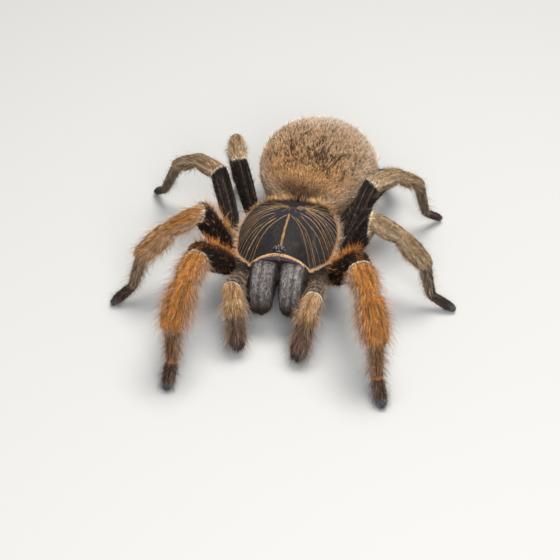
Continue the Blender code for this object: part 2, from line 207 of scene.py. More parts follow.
def smooth_path(points: Array, count: int) -> Array:
    """Resamples a row of points along a Catmull-Rom curve.

    Args:
        points: the row, of any number of columns.
        count: how many points to return.

    Returns:
        Points evenly spaced in the curve's own count, ends included.
    """
    points = np.asarray(points, float)
    padded = np.vstack([2 * points[0] - points[1], points, 2 * points[-1] - points[-2]])
    where = np.linspace(0, len(points) - 1, count)
    index = np.minimum(where.astype(int), len(points) - 2)
    t = (where - index)[:, None]
    before, start = padded[index], padded[index + 1]
    end, after = padded[index + 2], padded[index + 3]
    return 0.5 * (2 * start + (end - before) * t
                  + (2 * before - 5 * start + 4 * end - after) * t ** 2
                  + (3 * start - before - 3 * end + after) * t ** 3)


def axes_of(way: Array) -> tuple[Array, Array]:
    """Returns the level sideways and the upper direction square to a way."""
    side = unit(np.cross((0.0, 0.0, 1.0), way))
    return side, np.cross(way, side)


# ---- small modelling helpers ----

def activate(piece: Piece) -> None:
    """Deselects everything, then selects one piece and makes it the active one."""
    bpy.ops.object.select_all(action="DESELECT")
    piece.select_set(True)
    bpy.context.view_layer.objects.active = piece


def apply_modifier(piece: Piece, kind: str, **settings: object) -> None:
    """Adds a modifier with the given settings and applies it at once."""
    activate(piece)
    modifier = piece.modifiers.new(kind.lower(), kind)
    for name, value in settings.items():
        setattr(modifier, name, value)
    bpy.ops.object.modifier_apply(modifier=modifier.name)


def tidy_mesh(piece: Piece) -> None:
    """Merges doubled vertices, closes holes and turns every face outwards."""
    activate(piece)
    bpy.ops.object.mode_set(mode="EDIT")
    bpy.ops.mesh.select_all(action="SELECT")
    bpy.ops.mesh.remove_doubles(threshold=MERGE_DISTANCE)
    bpy.ops.mesh.fill_holes(sides=0)
    bpy.ops.mesh.select_all(action="SELECT")
    bpy.ops.mesh.normals_make_consistent(inside=False)
    bpy.ops.object.mode_set(mode="OBJECT")


def read_rows(items: bpy.types.bpy_prop_collection, name: str, kind: type = np.float32) -> Array:
    """Reads three numbers from each of Blender's items, one item a row."""
    flat = np.empty(len(items) * 3, kind)
    items.foreach_get(name, flat)
    return flat.reshape(-1, 3)


def sheet_piece(name: str, points: Array) -> Piece:
    """Shapes a grid primitive to rows of points, then closes its seam and poles.

    Args:
        name: name of the new piece.
        points: rows by columns by three, in millimetres; the last column repeats the first
            where the form is round, and a row that is all one point becomes a pole.

    Returns:
        The new piece.
    """
    rows, columns = points.shape[:2]
    bpy.ops.object.select_all(action="DESELECT")
    bpy.ops.mesh.primitive_grid_add(x_subdivisions=columns - 1, y_subdivisions=rows - 1, size=2.0)
    piece = bpy.context.active_object
    piece.name = name
    mesh = piece.data
    mesh.name = name
    flat = read_rows(mesh.vertices, "co")
    column = np.rint((flat[:, 0] + 1) / 2 * (columns - 1)).astype(int)
    row = np.rint((flat[:, 1] + 1) / 2 * (rows - 1)).astype(int)
    mesh.vertices.foreach_set("co", (points[row, column] * MM).astype(np.float32).ravel())
    mesh.update()
    tidy_mesh(piece)
    return piece


def join_pieces(pieces: list[Piece], name: str) -> Piece:
    """Joins pieces into the first one and renames it."""
    activate(pieces[0])
    for piece in pieces:
        piece.select_set(True)
    bpy.ops.object.join()
    pieces[0].name = name
    pieces[0].data.name = name
    return pieces[0]


def vertex_places(piece: Piece) -> Array:
    """Returns a piece's vertices in millimetres."""
    return read_rows(piece.data.vertices, "co").astype(float) / MM


def write_colours(piece: Piece, colours: Array) -> None:
    """Stores one colour for each vertex."""
    layer = piece.data.color_attributes.new(COLOUR_NAME, "FLOAT_COLOR", "POINT")
    filled = np.ones((len(colours), 4), np.float32)
    filled[:, :3] = np.clip(colours, 0.0, 1.0)
    layer.data.foreach_set("color", filled.ravel())


def hoop(side: Array, top: Array, sides: int, wide: float, tall: float) -> Array:
    """Returns an ellipse's points about nothing, which starts and ends at its side direction."""
    turn = np.linspace(0, math.tau, sides + 1)
    return np.outer(np.cos(turn), side) * wide + np.outer(np.sin(turn), top) * tall


def tube_points(path: Array, radii: Array, sides: int) -> Array:
    """Rows of points round a path, closed to a pole at both ends.

    Args:
        path: middle line, one point a row.
        radii: one radius for each point.
        sides: how many columns.

    Returns:
        Rows by sides + 1 by three.
    """
    ways = unit(np.gradient(path, axis=0))
    side = np.cross((0.31, 0.27, 0.91), ways[0])
    rows = [np.repeat(path[:1], sides + 1, axis=0)]
    for place, way, radius in zip(path, ways, radii):
        side = unit(side - way * np.dot(side, way))
        rows.append(place + hoop(side, np.cross(way, side), sides, radius, radius))
    rows.append(np.repeat(path[-1:], sides + 1, axis=0))
    return np.array(rows)


def ball_points(centre: Array, half: Array, rows: int, columns: int) -> Array:
    """Rows of points over an ellipsoid, from its top pole to its bottom pole."""
    polar = np.linspace(0, math.pi, rows)[:, None]
    turn = np.linspace(0, math.tau, columns)[None, :]
    ball = np.stack([np.sin(polar) * np.cos(turn), np.sin(polar) * np.sin(turn),
                     np.cos(polar) * np.ones_like(turn)], axis=-1)
    return np.asarray(centre) + ball * np.asarray(half)


# ---- finishes ----

def set_inputs(node: bpy.types.Node, values: dict[str | int, object]) -> None:
    """Sets a node's inputs, each by its name or number."""
    for name, value in values.items():
        node.inputs[name].default_value = value


def hair_tone_group() -> bpy.types.NodeTree:
    """Varies a hair's colour and roughness from place to place.

    Returns:
        A group that takes a colour, how strongly it varies and how fine, and gives the varied
        colour, a roughness and a height for bumps.
    """
    tree = bpy.data.node_groups.new("hair_tone", "ShaderNodeTree")
    for way, labels in (("INPUT", ("Colour", "Strength", "Fineness")),
                        ("OUTPUT", ("Colour", "Roughness", "Height"))):
        for label in labels:
            kind = "NodeSocketColor" if label == "Colour" else "NodeSocketFloat"
            tree.interface.new_socket(label, in_out=way, socket_type=kind)
    add, link = tree.nodes.new, tree.links.new
    start, end = add("NodeGroupInput").outputs, add("NodeGroupOutput").inputs
    fine = add("ShaderNodeTexNoise")
    set_inputs(fine, {"Detail": 3.0, "Roughness": 0.65})
    link(add("ShaderNodeTexCoord").outputs["Object"], fine.inputs["Vector"])
    link(start["Fineness"], fine.inputs["Scale"])
    centred, scaled, tone = add("ShaderNodeMath"), add("ShaderNodeMath"), add("ShaderNodeVectorMath")
    centred.operation, scaled.operation, tone.operation = "SUBTRACT", "MULTIPLY_ADD", "SCALE"
    set_inputs(centred, {1: 0.5})
    link(fine.outputs["Fac"], centred.inputs[0])
    set_inputs(scaled, {2: 1.0})
    link(centred.outputs[0], scaled.inputs[0])
    link(start["Strength"], scaled.inputs[1])
    link(start["Colour"], tone.inputs[0])
    link(scaled.outputs[0], tone.inputs["Scale"])
    rough = add("ShaderNodeMapRange")
    set_inputs(rough, {"To Min": 0.45, "To Max": 0.75})
    link(fine.outputs["Fac"], rough.inputs["Value"])
    link(tone.outputs[0], end["Colour"])
    link(rough.outputs[0], end["Roughness"])
    link(fine.outputs["Fac"], end["Height"])
    return tree


@dataclass(frozen=True)
class Finish:
    """A finish that takes its colours from the mesh and varies them with fine noise."""

    name: str
    strength: float = 0.8  # how far the colour varies
    fineness: float = 900.0  # noise cells in a metre
    bump: float = 0.0
    bump_depth: float = 0.0002
    specular: float = 0.35
    sheen: float = 0.0
    sheen_tint: Colour = (1.0, 1.0, 1.0)
    gloss: float | None = None  # fixed roughness, where the noise doesn't set it

    def material(self) -> bpy.types.Material:
        """Builds the material, or returns it where it was built before."""
        made = bpy.data.materials.get(self.name)
        if made is not None:
            return made
        made = bpy.data.materials.new(self.name)
        made.use_nodes = True
        nodes, link = made.node_tree.nodes, made.node_tree.links.new
        shader = nodes["Principled BSDF"]
        read = nodes.new("ShaderNodeAttribute")
        read.attribute_name = COLOUR_NAME
        tone = nodes.new("ShaderNodeGroup")
        tone.node_tree = bpy.data.node_groups.get("hair_tone") or hair_tone_group()
        set_inputs(tone, {"Strength": self.strength, "Fineness": self.fineness})
        link(read.outputs["Color"], tone.inputs["Colour"])
        link(tone.outputs["Colour"], shader.inputs["Base Color"])
        if self.gloss is None:
            link(tone.outputs["Roughness"], shader.inputs["Roughness"])
        else:
            set_inputs(shader, {"Roughness": self.gloss})
        set_inputs(shader, {"Specular IOR Level": self.specular, "Sheen Weight": self.sheen,
                            "Sheen Tint": (*self.sheen_tint, 1.0)})
        if self.bump:
            bump = nodes.new("ShaderNodeBump")
            set_inputs(bump, {"Strength": self.bump, "Distance": self.bump_depth})
            link(tone.outputs["Height"], bump.inputs["Height"])
            link(bump.outputs["Normal"], shader.inputs["Normal"])
        return made


def finish(piece: Piece, colours: Array, look: Finish) -> None:
    """Gives a piece its colours, its material and smooth shading.

    Args:
        piece: the piece.
        colours: one for each vertex.
        look: its finish.
    """
    write_colours(piece, colours)
    piece.data.materials.append(look.material())
    activate(piece)
    bpy.ops.object.shade_smooth()


HAIR = Finish("coat_hair", strength=0.6, fineness=1100.0, specular=0.12)
VELVET = Finish("shell_velvet", strength=0.9, fineness=1500.0, bump=0.5, bump_depth=0.00015,
                specular=0.12, sheen=0.02, sheen_tint=(0.72, 0.80, 1.0))
SKIN = Finish("skin", strength=0.9, fineness=1600.0, bump=0.7, specular=0.1)
MEMBRANE = Finish("soft_membrane", strength=0.5, fineness=1100.0, bump=0.35, specular=0.3)
EYE_GLASS = Finish("eye_glass", strength=0.3, fineness=300.0, specular=0.6, gloss=0.06)
HORN = Finish("fang_horn", strength=0.5, fineness=500.0, specular=0.5, gloss=0.2)


# ---- the animal's plan ----

class Family(Enum):
    """Which set of colours and hair lengths a limb wears."""

    BRIGHT = "bright"
    TAN = "tan"
    KHAKI = "khaki"
    PALP = "palp"


FAMILIES = {
    "leg_1_right": Family.BRIGHT, "leg_1_left": Family.BRIGHT,
    "leg_2_right": Family.TAN, "leg_2_left": Family.KHAKI,
    "leg_3_right": Family.KHAKI, "leg_3_left": Family.KHAKI,
    "leg_4_right": Family.KHAKI, "leg_4_left": Family.KHAKI,
    "palp_right": Family.PALP, "palp_left": Family.PALP,
}
LEG_SEGMENTS = ("femur", "patella", "tibia", "metatarsus", "tarsus")
PALP_SEGMENTS = ("femur", "patella", "tibia", "tarsus")

# Colours, as linear red, green and blue.
BLACK = (0.009, 0.006, 0.005)
STRAW = (0.62, 0.50, 0.33)
CREAM = (0.74, 0.60, 0.45)
ORANGE = (0.52, 0.19, 0.035)
GOLD = (0.59, 0.285, 0.08)
TAN = (0.48, 0.235, 0.105)
KHAKI = (0.35, 0.225, 0.115)
FAWN = (0.48, 0.345, 0.215)
OCHRE = (0.42, 0.255, 0.13)
BROWN = (0.15, 0.075, 0.040)
UMBER = (0.050, 0.026, 0.015)
GREY_BROWN = (0.18, 0.115, 0.08)
CHARCOAL = (0.032, 0.024, 0.022)
JET = (0.030, 0.016, 0.010)
SLATE = (0.105, 0.112, 0.135)
ASH = (0.17, 0.145, 0.135)
MAUVE = (0.145, 0.078, 0.052)
ROSY = (0.42, 0.285, 0.205)
DUN = (0.20, 0.135, 0.085)


@dataclass(frozen=True)
class Style:
    """Colours and hair of one segment.

    Angles are degrees away from the middle of its upper side, and shares run from 0 at the
    segment's start to 1 at its end.
    """

    base: Colour
    tips: Colour
    depth: float = 0.4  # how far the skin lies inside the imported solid
    length: float = 0.9
    rise: float = 13.0  # how steeply hairs stand
    width: float = 0.10
    density: float = 44.0  # hairs in a square millimetre
    under: Colour = GREY_BROWN
    stripe: Colour = UMBER
    stripe_at: float = 24.0
    stripe_width: float = 7.0
    stripe_strength: float = 0.0
    stripe_span: tuple[float, float] = (0.08, 0.92)
    cap: Colour = ORANGE
    cap_width: float = 45.0
    cap_strength: float = 0.0
    cap_span: tuple[float, float] = (0.2, 0.85)
    edge: Colour = CREAM
    edge_at: float = 70.0
    edge_width: float = 8.0
    edge_strength: float = 0.0
    end_ring: float = 0.0  # strength of the pale ring where the segment ends
    ring: Colour = CREAM
    end_tone: Colour = BLACK
    end_strength: float = 0.0
    bands: float = 0.0  # strength of dark rings along the segment
    dark: float = 0.12  # share of single hairs that are dark
    fuzz: float = 0.0  # share of long hairs that stand out at the sides
    crest: float = 0.0  # share of long hairs that stand out along the top
    fuzz_length: float = 2.0
    fuzz_rise: float = 46.0
    fuzz_tone: Colour = FAWN


COXA = Style((0.36, 0.27, 0.21), (0.52, 0.40, 0.31), length=1.0, rise=28.0, stripe=BLACK, stripe_at=35.0,
             stripe_width=12.0, stripe_strength=0.8, under=BROWN, density=30.0, dark=0.32, fuzz=0.16,
             fuzz_length=1.7, fuzz_tone=(0.50, 0.37, 0.28))
DARK_COXA = replace(COXA, base=(0.15, 0.108, 0.08), tips=(0.27, 0.20, 0.15), fuzz_tone=GREY_BROWN)
FRONT_FEMUR = Style(BLACK, JET, length=1.0, edge_at=0.0, edge_strength=0.45, end_ring=1.0, under=BLACK,
                    fuzz=0.03, density=34.0)
# A bright segment with a stripe each side of its top and rosy flanks.
LINED = Style(ORANGE, GOLD, stripe_width=5.0, edge=ROSY, edge_at=88.0, edge_width=24.0, edge_strength=0.5,
              fuzz_tone=ROSY)
DULL = Style(KHAKI, FAWN, stripe_width=4.0, end_ring=0.5, ring=FAWN)
DARK_FOOT = Style(CHARCOAL, BROWN, depth=0.25, length=0.7, rise=14.0, end_tone=SLATE, end_strength=0.8,
                  under=CHARCOAL, density=50.0, fuzz=0.18, fuzz_length=1.1, fuzz_tone=GREY_BROWN)
STYLES: dict[Family, dict[str, Style]] = {
    Family.BRIGHT: {
        "coxa": DARK_COXA,
        "femur": replace(
            FRONT_FEMUR, depth=0.45, edge=(0.22, 0.075, 0.018), edge_width=22.0, crest=0.3,
            fuzz_tone=(0.56, 0.21, 0.05)),
        "patella": replace(
            LINED, depth=0.6, length=1.25, stripe_at=19.0, stripe_strength=0.75, edge_width=26.0,
            edge_strength=0.7, end_ring=0.9, ring=BROWN, fuzz=0.28, fuzz_length=2.2),
        "tibia": replace(
            LINED, depth=0.7, length=1.4, rise=14.0, stripe_at=22.0, stripe_strength=0.85,
            stripe_span=(0.0, 0.8), edge_width=26.0, edge_strength=0.7, fuzz=0.3, fuzz_length=2.5),
        "metatarsus": replace(
            LINED, base=(0.27, 0.125, 0.05), tips=TAN, length=1.0, stripe_at=15.0, stripe_width=7.0,
            stripe_strength=0.85, stripe_span=(0.0, 0.9), edge_at=80.0, edge_width=26.0, edge_strength=0.55,
            end_ring=1.0, ring=(0.44, 0.19, 0.06), fuzz=0.34, under=UMBER),
        "tarsus": replace(
            DARK_FOOT, depth=0.3, length=0.8, rise=16.0, cap=(0.15, 0.072, 0.032), cap_width=9.0,
            cap_strength=0.8, cap_span=(-0.2, 0.75), stripe=BLACK, stripe_at=13.0, stripe_width=5.0,
            stripe_strength=0.8, edge=GREY_BROWN, edge_at=60.0, edge_width=22.0, edge_strength=0.5,
            end_strength=1.0, fuzz=0.26, fuzz_length=1.4, fuzz_tone=(0.30, 0.23, 0.18)),
    },
    Family.TAN: {
        "coxa": COXA,
        "femur": replace(
            FRONT_FEMUR, edge=(0.38, 0.16, 0.05), edge_width=14.0, crest=0.34, fuzz_tone=(0.60, 0.29, 0.10)),
        "patella": replace(
            LINED, base=(0.58, 0.25, 0.07), depth=0.5, length=1.2, stripe_at=22.0, stripe_strength=0.7,
            edge_strength=0.6, end_ring=0.5, ring=BROWN, fuzz=0.18, fuzz_length=2.1, fuzz_tone=FAWN,
            under=TAN),
        "tibia": replace(
            LINED, base=(0.56, 0.27, 0.10), tips=(0.60, 0.37, 0.19), depth=0.5, length=1.2, stripe=BROWN,
            stripe_strength=0.8, end_ring=0.5, ring=GOLD, fuzz=0.22, fuzz_length=2.2,
            fuzz_tone=(0.56, 0.36, 0.22), under=TAN),
        "metatarsus": Style(GREY_BROWN, FAWN, depth=0.3, stripe_strength=0.7, fuzz=0.3, fuzz_length=1.8),
        "tarsus": DARK_FOOT,
    },
    Family.KHAKI: {
        "coxa": COXA,
        "femur": Style(
            BLACK, (0.022, 0.015, 0.011), depth=0.3, length=0.7, rise=10.0, cap=DUN, cap_width=3.0,
            cap_strength=0.45, cap_span=(0.2, 0.95), edge=DUN, edge_at=44.0, edge_width=4.0,
            edge_strength=0.35, end_ring=0.75, ring=STRAW, under=BLACK, density=34.0, fuzz=0.09,
            fuzz_length=1.2, fuzz_tone=GREY_BROWN),
        "patella": replace(
            DULL, depth=0.3, length=0.7, rise=10.0, stripe_at=21.0, stripe_strength=0.85,
            edge_strength=0.65, fuzz=0.06, fuzz_length=1.1),
        "tibia": replace(
            DULL, depth=0.5, length=0.85, rise=12.0, stripe_at=23.0, stripe_strength=0.75,
            edge_strength=0.45, fuzz=0.16, fuzz_length=1.5),
        "metatarsus": Style(
            (0.085, 0.066, 0.052), (0.30, 0.23, 0.17), depth=0.3, length=0.85, stripe_at=28.0,
            stripe_strength=0.7, edge_strength=0.3, edge=FAWN, fuzz=0.2, fuzz_length=1.4),
        "tarsus": replace(DARK_FOOT, tips=GREY_BROWN, length=0.6, rise=12.0, fuzz=0.08, fuzz_length=0.8),
    },
    Family.PALP: {
        "coxa": DARK_COXA,
        "femur": Style(
            (0.22, 0.16, 0.12), (0.34, 0.255, 0.19), depth=0.2, length=0.6, rise=18.0, bands=1.0, dark=0.25,
            end_ring=1.0, under=UMBER, fuzz=0.1, fuzz_length=1.2),
        "patella": replace(
            LINED, base=(0.50, 0.26, 0.105), tips=FAWN, depth=0.5, length=1.1, stripe=BROWN, stripe_at=0.0,
            stripe_width=4.0, stripe_strength=0.6, fuzz=0.14, fuzz_length=1.7),
        "tibia": replace(
            LINED, base=(0.50, 0.265, 0.105), tips=FAWN, depth=0.55, length=1.05, rise=15.0, stripe=BROWN,
            stripe_at=16.0, stripe_width=4.0, stripe_strength=0.5, fuzz=0.24),
        "tarsus": Style(
            MAUVE, (0.27, 0.165, 0.12), depth=0.45, length=1.2, rise=14.0, end_tone=(0.045, 0.05, 0.062),
            end_strength=1.0, fuzz=0.3, fuzz_tone=(0.38, 0.27, 0.20), under=BROWN),
    },
}

# Skin radius along a segment, as (share of its length, share of its radius).
PROFILES = {
    "coxa": ((0.0, 0.75), (0.3, 1.05), (0.6, 1.1), (0.85, 0.98), (1.0, 0.84)),
    "femur": ((0.0, 0.74), (0.2, 0.87), (0.5, 0.97), (0.8, 1.0), (0.93, 0.97), (1.0, 0.92)),
    "patella": ((0.0, 0.86), (0.15, 0.97), (0.45, 1.03), (0.85, 0.93), (1.0, 0.76)),
    "tibia": ((0.0, 0.78), (0.15, 0.95), (0.5, 1.07), (0.85, 0.97), (1.0, 0.82)),
    "metatarsus": ((0.0, 0.94), (0.15, 0.97), (0.6, 0.86), (0.9, 0.77), (1.0, 0.72)),
    "tarsus": ((0.0, 0.84), (0.3, 0.97), (0.65, 0.95), (0.88, 0.76), (0.96, 0.6), (1.0, 0.38)),
}


@dataclass
class Bone:
    """A straight stretch of the body that hairs lie along."""

    name: str
    start: Array
    end: Array
    radius: float
    profile: tuple[tuple[float, float], ...]
    style: Style
    slot_group: str = "legs"

    def __post_init__(self) -> None:
        """Works out the stretch's own directions."""
        self.length = float(np.linalg.norm(self.end - self.start))
        self.way = (self.end - self.start) / self.length
        self.side, self.top = axes_of(self.way)
        self.way_before = self.way
        self.way_after = self.way

    def lie_at(self, share: Array) -> Array:
        """Direction of the hairs, which turns into the next bone's near a joint."""
        before = (0.5 * ramp(0.16, 0.0, share))[:, None]
        after = (0.5 * ramp(0.84, 1.0, share))[:, None]
        return unit(self.way * (1 - before - after) + self.way_before * before + self.way_after * after)

    def radius_at(self, share: Array) -> Array:
        """Returns the skin's radius at shares of the length."""
        shares, factors = zip(*self.profile)
        return self.radius * np.interp(share, shares, factors)

    def place(self, points: Array) -> tuple[Array, Array, Array]:
        """Says where points lie along and round the stretch.

        Args:
            points: places, one a row.

        Returns:
            The share of the length, the angle from the upper side in degrees (positive towards
            the bone's side direction), and the distance from the middle line in radii.
        """
        offset = points - self.start
        share = np.clip(offset @ self.way / self.length, 0.0, 1.0)
        away = offset - np.outer(share * self.length, self.way)
        angle = np.degrees(np.arctan2(away @ self.side, away @ self.top))
        return share, angle, np.linalg.norm(away, axis=1) / self.radius_at(share)


@dataclass(frozen=True)
class JointRing:
    """The plane where one bone's coat gives way to the next, with its narrow ring of hairs."""

    before: str
    after: str
    point: Array
    normal: Array
    colour: Colour
    strength: float


NO_TURN = (0.0, 0.0)
# Knees whose ring turns with the patella: how far it turns, and how far out it lies.
KNEES = {"leg_1_right": (1.0, 1.0), "leg_1_left": (1.0, 1.0), "leg_2_left": (0.5, 0.1)}


@dataclass
class Limb:
    """A leg or palp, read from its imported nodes."""

    name: str
    segments: tuple[str, ...]
    joints: Array
    coat_radii: list[float]
    family: Family

    def bones(self) -> list[Bone]:
        """Returns the limb's bones from its coxa to its foot, as thick as the skin."""
        made = []
        for number, segment in enumerate(("coxa",) + self.segments):
            style = STYLES[self.family][segment]
            radius = self.coat_radii[number] - style.depth
            made.append(Bone(f"{self.name}_{segment}", self.joints[number], self.joints[number + 1],
                             radius, PROFILES[segment], style))
        for first, second in zip(made, made[1:]):
            first.way_after = second.way
            second.way_before = first.way
        return made

    def rings(self) -> list[JointRing]:
        """Returns the plane at each joint."""
        bones = self.bones()
        found = []
        for first, second in zip(bones, bones[1:]):
            at_knee = first.name.endswith("femur")
            turn, reach = KNEES.get(self.name, NO_TURN) if at_knee else NO_TURN
            normal = unit(unit(first.way + second.way) * (1 - turn) + second.way * turn)
            found.append(JointRing(first.name, second.name, second.start + second.way * reach, normal,
                                   first.style.ring, first.style.end_ring))
        return found

    def skin_points(self, sides: int) -> Array:
        """Rows of points over the limb's skin, mitred at every joint and closed at both ends."""
        bones = self.bones()
        ways = [bone.way for bone in bones]
        normals = [ways[0]] + [unit(a + b) for a, b in zip(ways, ways[1:])] + [ways[-1]]
        rows = [np.repeat(self.joints[:1], sides + 1, axis=0)]
        for number, (bone, first, last) in enumerate(zip(bones, normals, normals[1:])):
            ring = hoop(bone.side, bone.top, sides, 1.0, 1.0)
            reach = MITRE_REACH * bone.radius
            for share in np.linspace(0, 1, BONE_ROWS)[1 if number else 0:]:
                offset = ring * float(bone.radius_at(share))
                near = np.maximum(-(offset @ first) / np.dot(bone.way, first), -reach)
                far = bone.length + np.minimum(-(offset @ last) / np.dot(bone.way, last), reach)
                rows.append(bone.start + np.outer(near + (far - near) * share, bone.way) + offset)
        rows.append(np.repeat(self.joints[-1:], sides + 1, axis=0))
        points = np.array(rows)
        points[..., 2] = np.maximum(points[..., 2], FOOT_SKIN_HEIGHT)
        return points


BONE_ROWS = 9
FAR_OFF = 9.0  # farther than any part's own skin, in its radii
MITRE_REACH = 0.42  # how far skin goes past a bent joint, against its radius
RING_DENSITY = 85.0  # extra hairs in a square millimetre at a joint
RING_WIDTH = 0.17  # half width of the ring of hairs at a joint
RING_EDGE = 0.45  # strength of the ring from which hairs belong to it
RING_LENGTH = 0.40
RING_RISE = 34.0
FUZZ_WIDTH = 0.048  # of the long hairs that stand out on limbs
LONG_WIDTH = 0.06  # and on the abdomen
FOOT_SKIN_HEIGHT = 0.3  # sole of the skin above the ground, which the foot's hairs fill
COXA_INSET = (0.42, 0.62)  # where a coxa starts, as shares of its hip's place
COXA_DROP = 0.3  # how far it starts below the hip
COXA_SHARE = 0.80  # coxa radius against the femur's
CARAPACE_BACK = 10.7  # back edge of the carapace, ahead of which lies the body's origin
CARAPACE_FRONT = -10.5
SAME_WAY = 0.9995  # cosine between faces of one flat end
SAME_LEVEL = 0.05
CAP_FACES = 6  # fewest triangles of a flat end


class Plan:
    """Where everything lies: the body's own origin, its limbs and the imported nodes."""

    def __init__(self, frame: dict) -> None:
        """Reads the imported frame.
        """
        self.nodes = frame["nodes"]
        low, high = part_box("carapace")
        middle = (np.array(low) + np.array(high)) / 2 / MM
        self.origin = np.array([middle[0], middle[1] - (CARAPACE_BACK + CARAPACE_FRONT) / 2, 0.0])
        self.limbs = [self.read_limb(name, family) for name, family in FAMILIES.items()]

    def at(self, *place: float) -> Array:
        """Turns a place in the body's frame into a place in the shared frame."""
        return self.origin + np.array(place, float)

    def node_vertices(self, name: str) -> Array:
        """Returns a node's vertices, each once, in millimetres."""
        return np.unique(np.round(vertex_places(self.nodes[name]), 3), axis=0)

    def read_limb(self, name: str, family: Family) -> Limb:
        """Finds a limb's joints and thickness from the ends of its solids.

        Args:
            name: the limb's name.
            family: its set of colours.

        Returns:
            The limb, whose first joint is where its coxa starts.
        """
        segments = PALP_SEGMENTS if family is Family.PALP else LEG_SEGMENTS
        ends = []
        radii = []
        here = self.at(0.0, 0.0, 7.6)
        for segment in segments:
            points = self.node_vertices(f"{name}_{segment}")
            caps = self.end_caps(f"{name}_{segment}")
            first = min(caps, key=lambda cap: np.linalg.norm(cap - here))
            others = [cap for cap in caps if np.linalg.norm(cap - first) > 2.0]
            along = (points - first) @ unit(points.mean(axis=0) - first)
            here = others[0] if others else points[np.argsort(along)[-10:]].mean(axis=0)
            axis = unit(here - first)
            off = points - first - np.outer((points - first) @ axis, axis)
            fullest = max(factor for _, factor in PROFILES[segment])
            radii.append(float(np.linalg.norm(off, axis=1).max()) / fullest)
            ends.append((first, here))
        joints = [ends[0][0]]
        joints += [(before[1] + after[0]) / 2 for before, after in zip(ends, ends[1:])]
        joints.append(ends[-1][1])
        hip = joints[0] - self.origin
        start = self.at(hip[0] * COXA_INSET[0], hip[1] * COXA_INSET[1], hip[2] - COXA_DROP)
        radii.insert(0, radii[0] * COXA_SHARE)
        return Limb(name, segments, np.array([start] + joints), radii, family)

    def end_caps(self, name: str) -> list[Array]:
        """Returns the middles of a node's flat ends, which are its only large flat faces."""
        surface = Surface(self.nodes[name])
        spots = surface.places[surface.corners]
        normals = unit(np.cross(spots[:, 1] - spots[:, 0], spots[:, 2] - spots[:, 0]))
        levels = dot(normals, spots[:, 0])
        free = np.ones(len(spots), bool)
        middles = []
        for number in range(len(spots)):
            flat = free & (normals @ normals[number] > SAME_WAY)
            flat &= np.abs(levels - levels[number]) < SAME_LEVEL
            if flat.sum() >= CAP_FACES:
                free[flat] = False
                rim = np.round(spots[flat].reshape(-1, 3), 3)
                middles.append(np.unique(rim, axis=0).mean(axis=0))
        return middles


# ---- body forms ----

@dataclass(frozen=True)
class AbdomenForm:
    """The egg of the abdomen, its waist and its two spinnerets, in the body's frame."""

    yaw: float = 10.8
    front: tuple[float, float, float] = (0.3, 10.9, 9.2)
    length: float = 23.7
    half_width: float = 11.7
    half_height: float = 9.0
    height: float = 10.2
    depth: float = 0.35
    waist_radius: float = 1.1

    @property
    def way(self) -> Array:
        """Level direction from the waist to the spinnerets."""
        turn = math.radians(90 - self.yaw)
        return np.array([math.cos(turn), math.sin(turn), 0.0])

    def centre(self, plan: Plan) -> Array:
        """Middle of the egg."""
        return plan.at(*self.front) + self.way * self.length / 2 + np.array(
            [0, 0, self.height - self.front[2]])

    def skin_points(self, plan: Plan) -> Array:
        """Rows of points from the front pole to the back pole."""
        side, top = axes_of(self.way)
        rows = []
        for polar in np.linspace(0, math.pi, EGG_ROWS):
            along = self.length * (0.5 - 0.5 * math.cos(polar))
            swell = math.sin(polar) * (1 - 0.05 * math.cos(polar))
            lift = (self.height - self.front[2]) * min(1.0, 2.5 * along / self.length)
            middle = plan.at(*self.front) + self.way * along + np.array([0, 0, lift])
            wide = (self.half_width - self.depth) * swell
            tall = (self.half_height - self.depth) * swell
            rows.append(middle + hoop(side, top, EGG_SIDES, wide, tall))
        inset = np.linspace(-1, 1, EGG_ROWS)[:, None, None] * -self.depth
        return np.array(rows) + inset * self.way

    def place(self, plan: Plan, points: Array) -> tuple[Array, Array, Array]:
        """Says where points lie on the egg.

        Args:
            plan: the animal's plan.
            points: places, one a row.

        Returns:
            The share of the length from the front, the angle from the top in degrees, and the
            distance from the middle, where 1 is the skin.
        """
        offset = points - self.centre(plan)
        side, top = axes_of(self.way)
        along = offset @ self.way / (self.length / 2 - self.depth)
        across = offset @ side / (self.half_width - self.depth)
        up = offset @ top / (self.half_height - self.depth)
        share = 0.5 + 0.5 * np.clip(along, -1, 1)
        return share, np.degrees(np.arctan2(across, up)), np.sqrt(along ** 2 + across ** 2 + up ** 2)


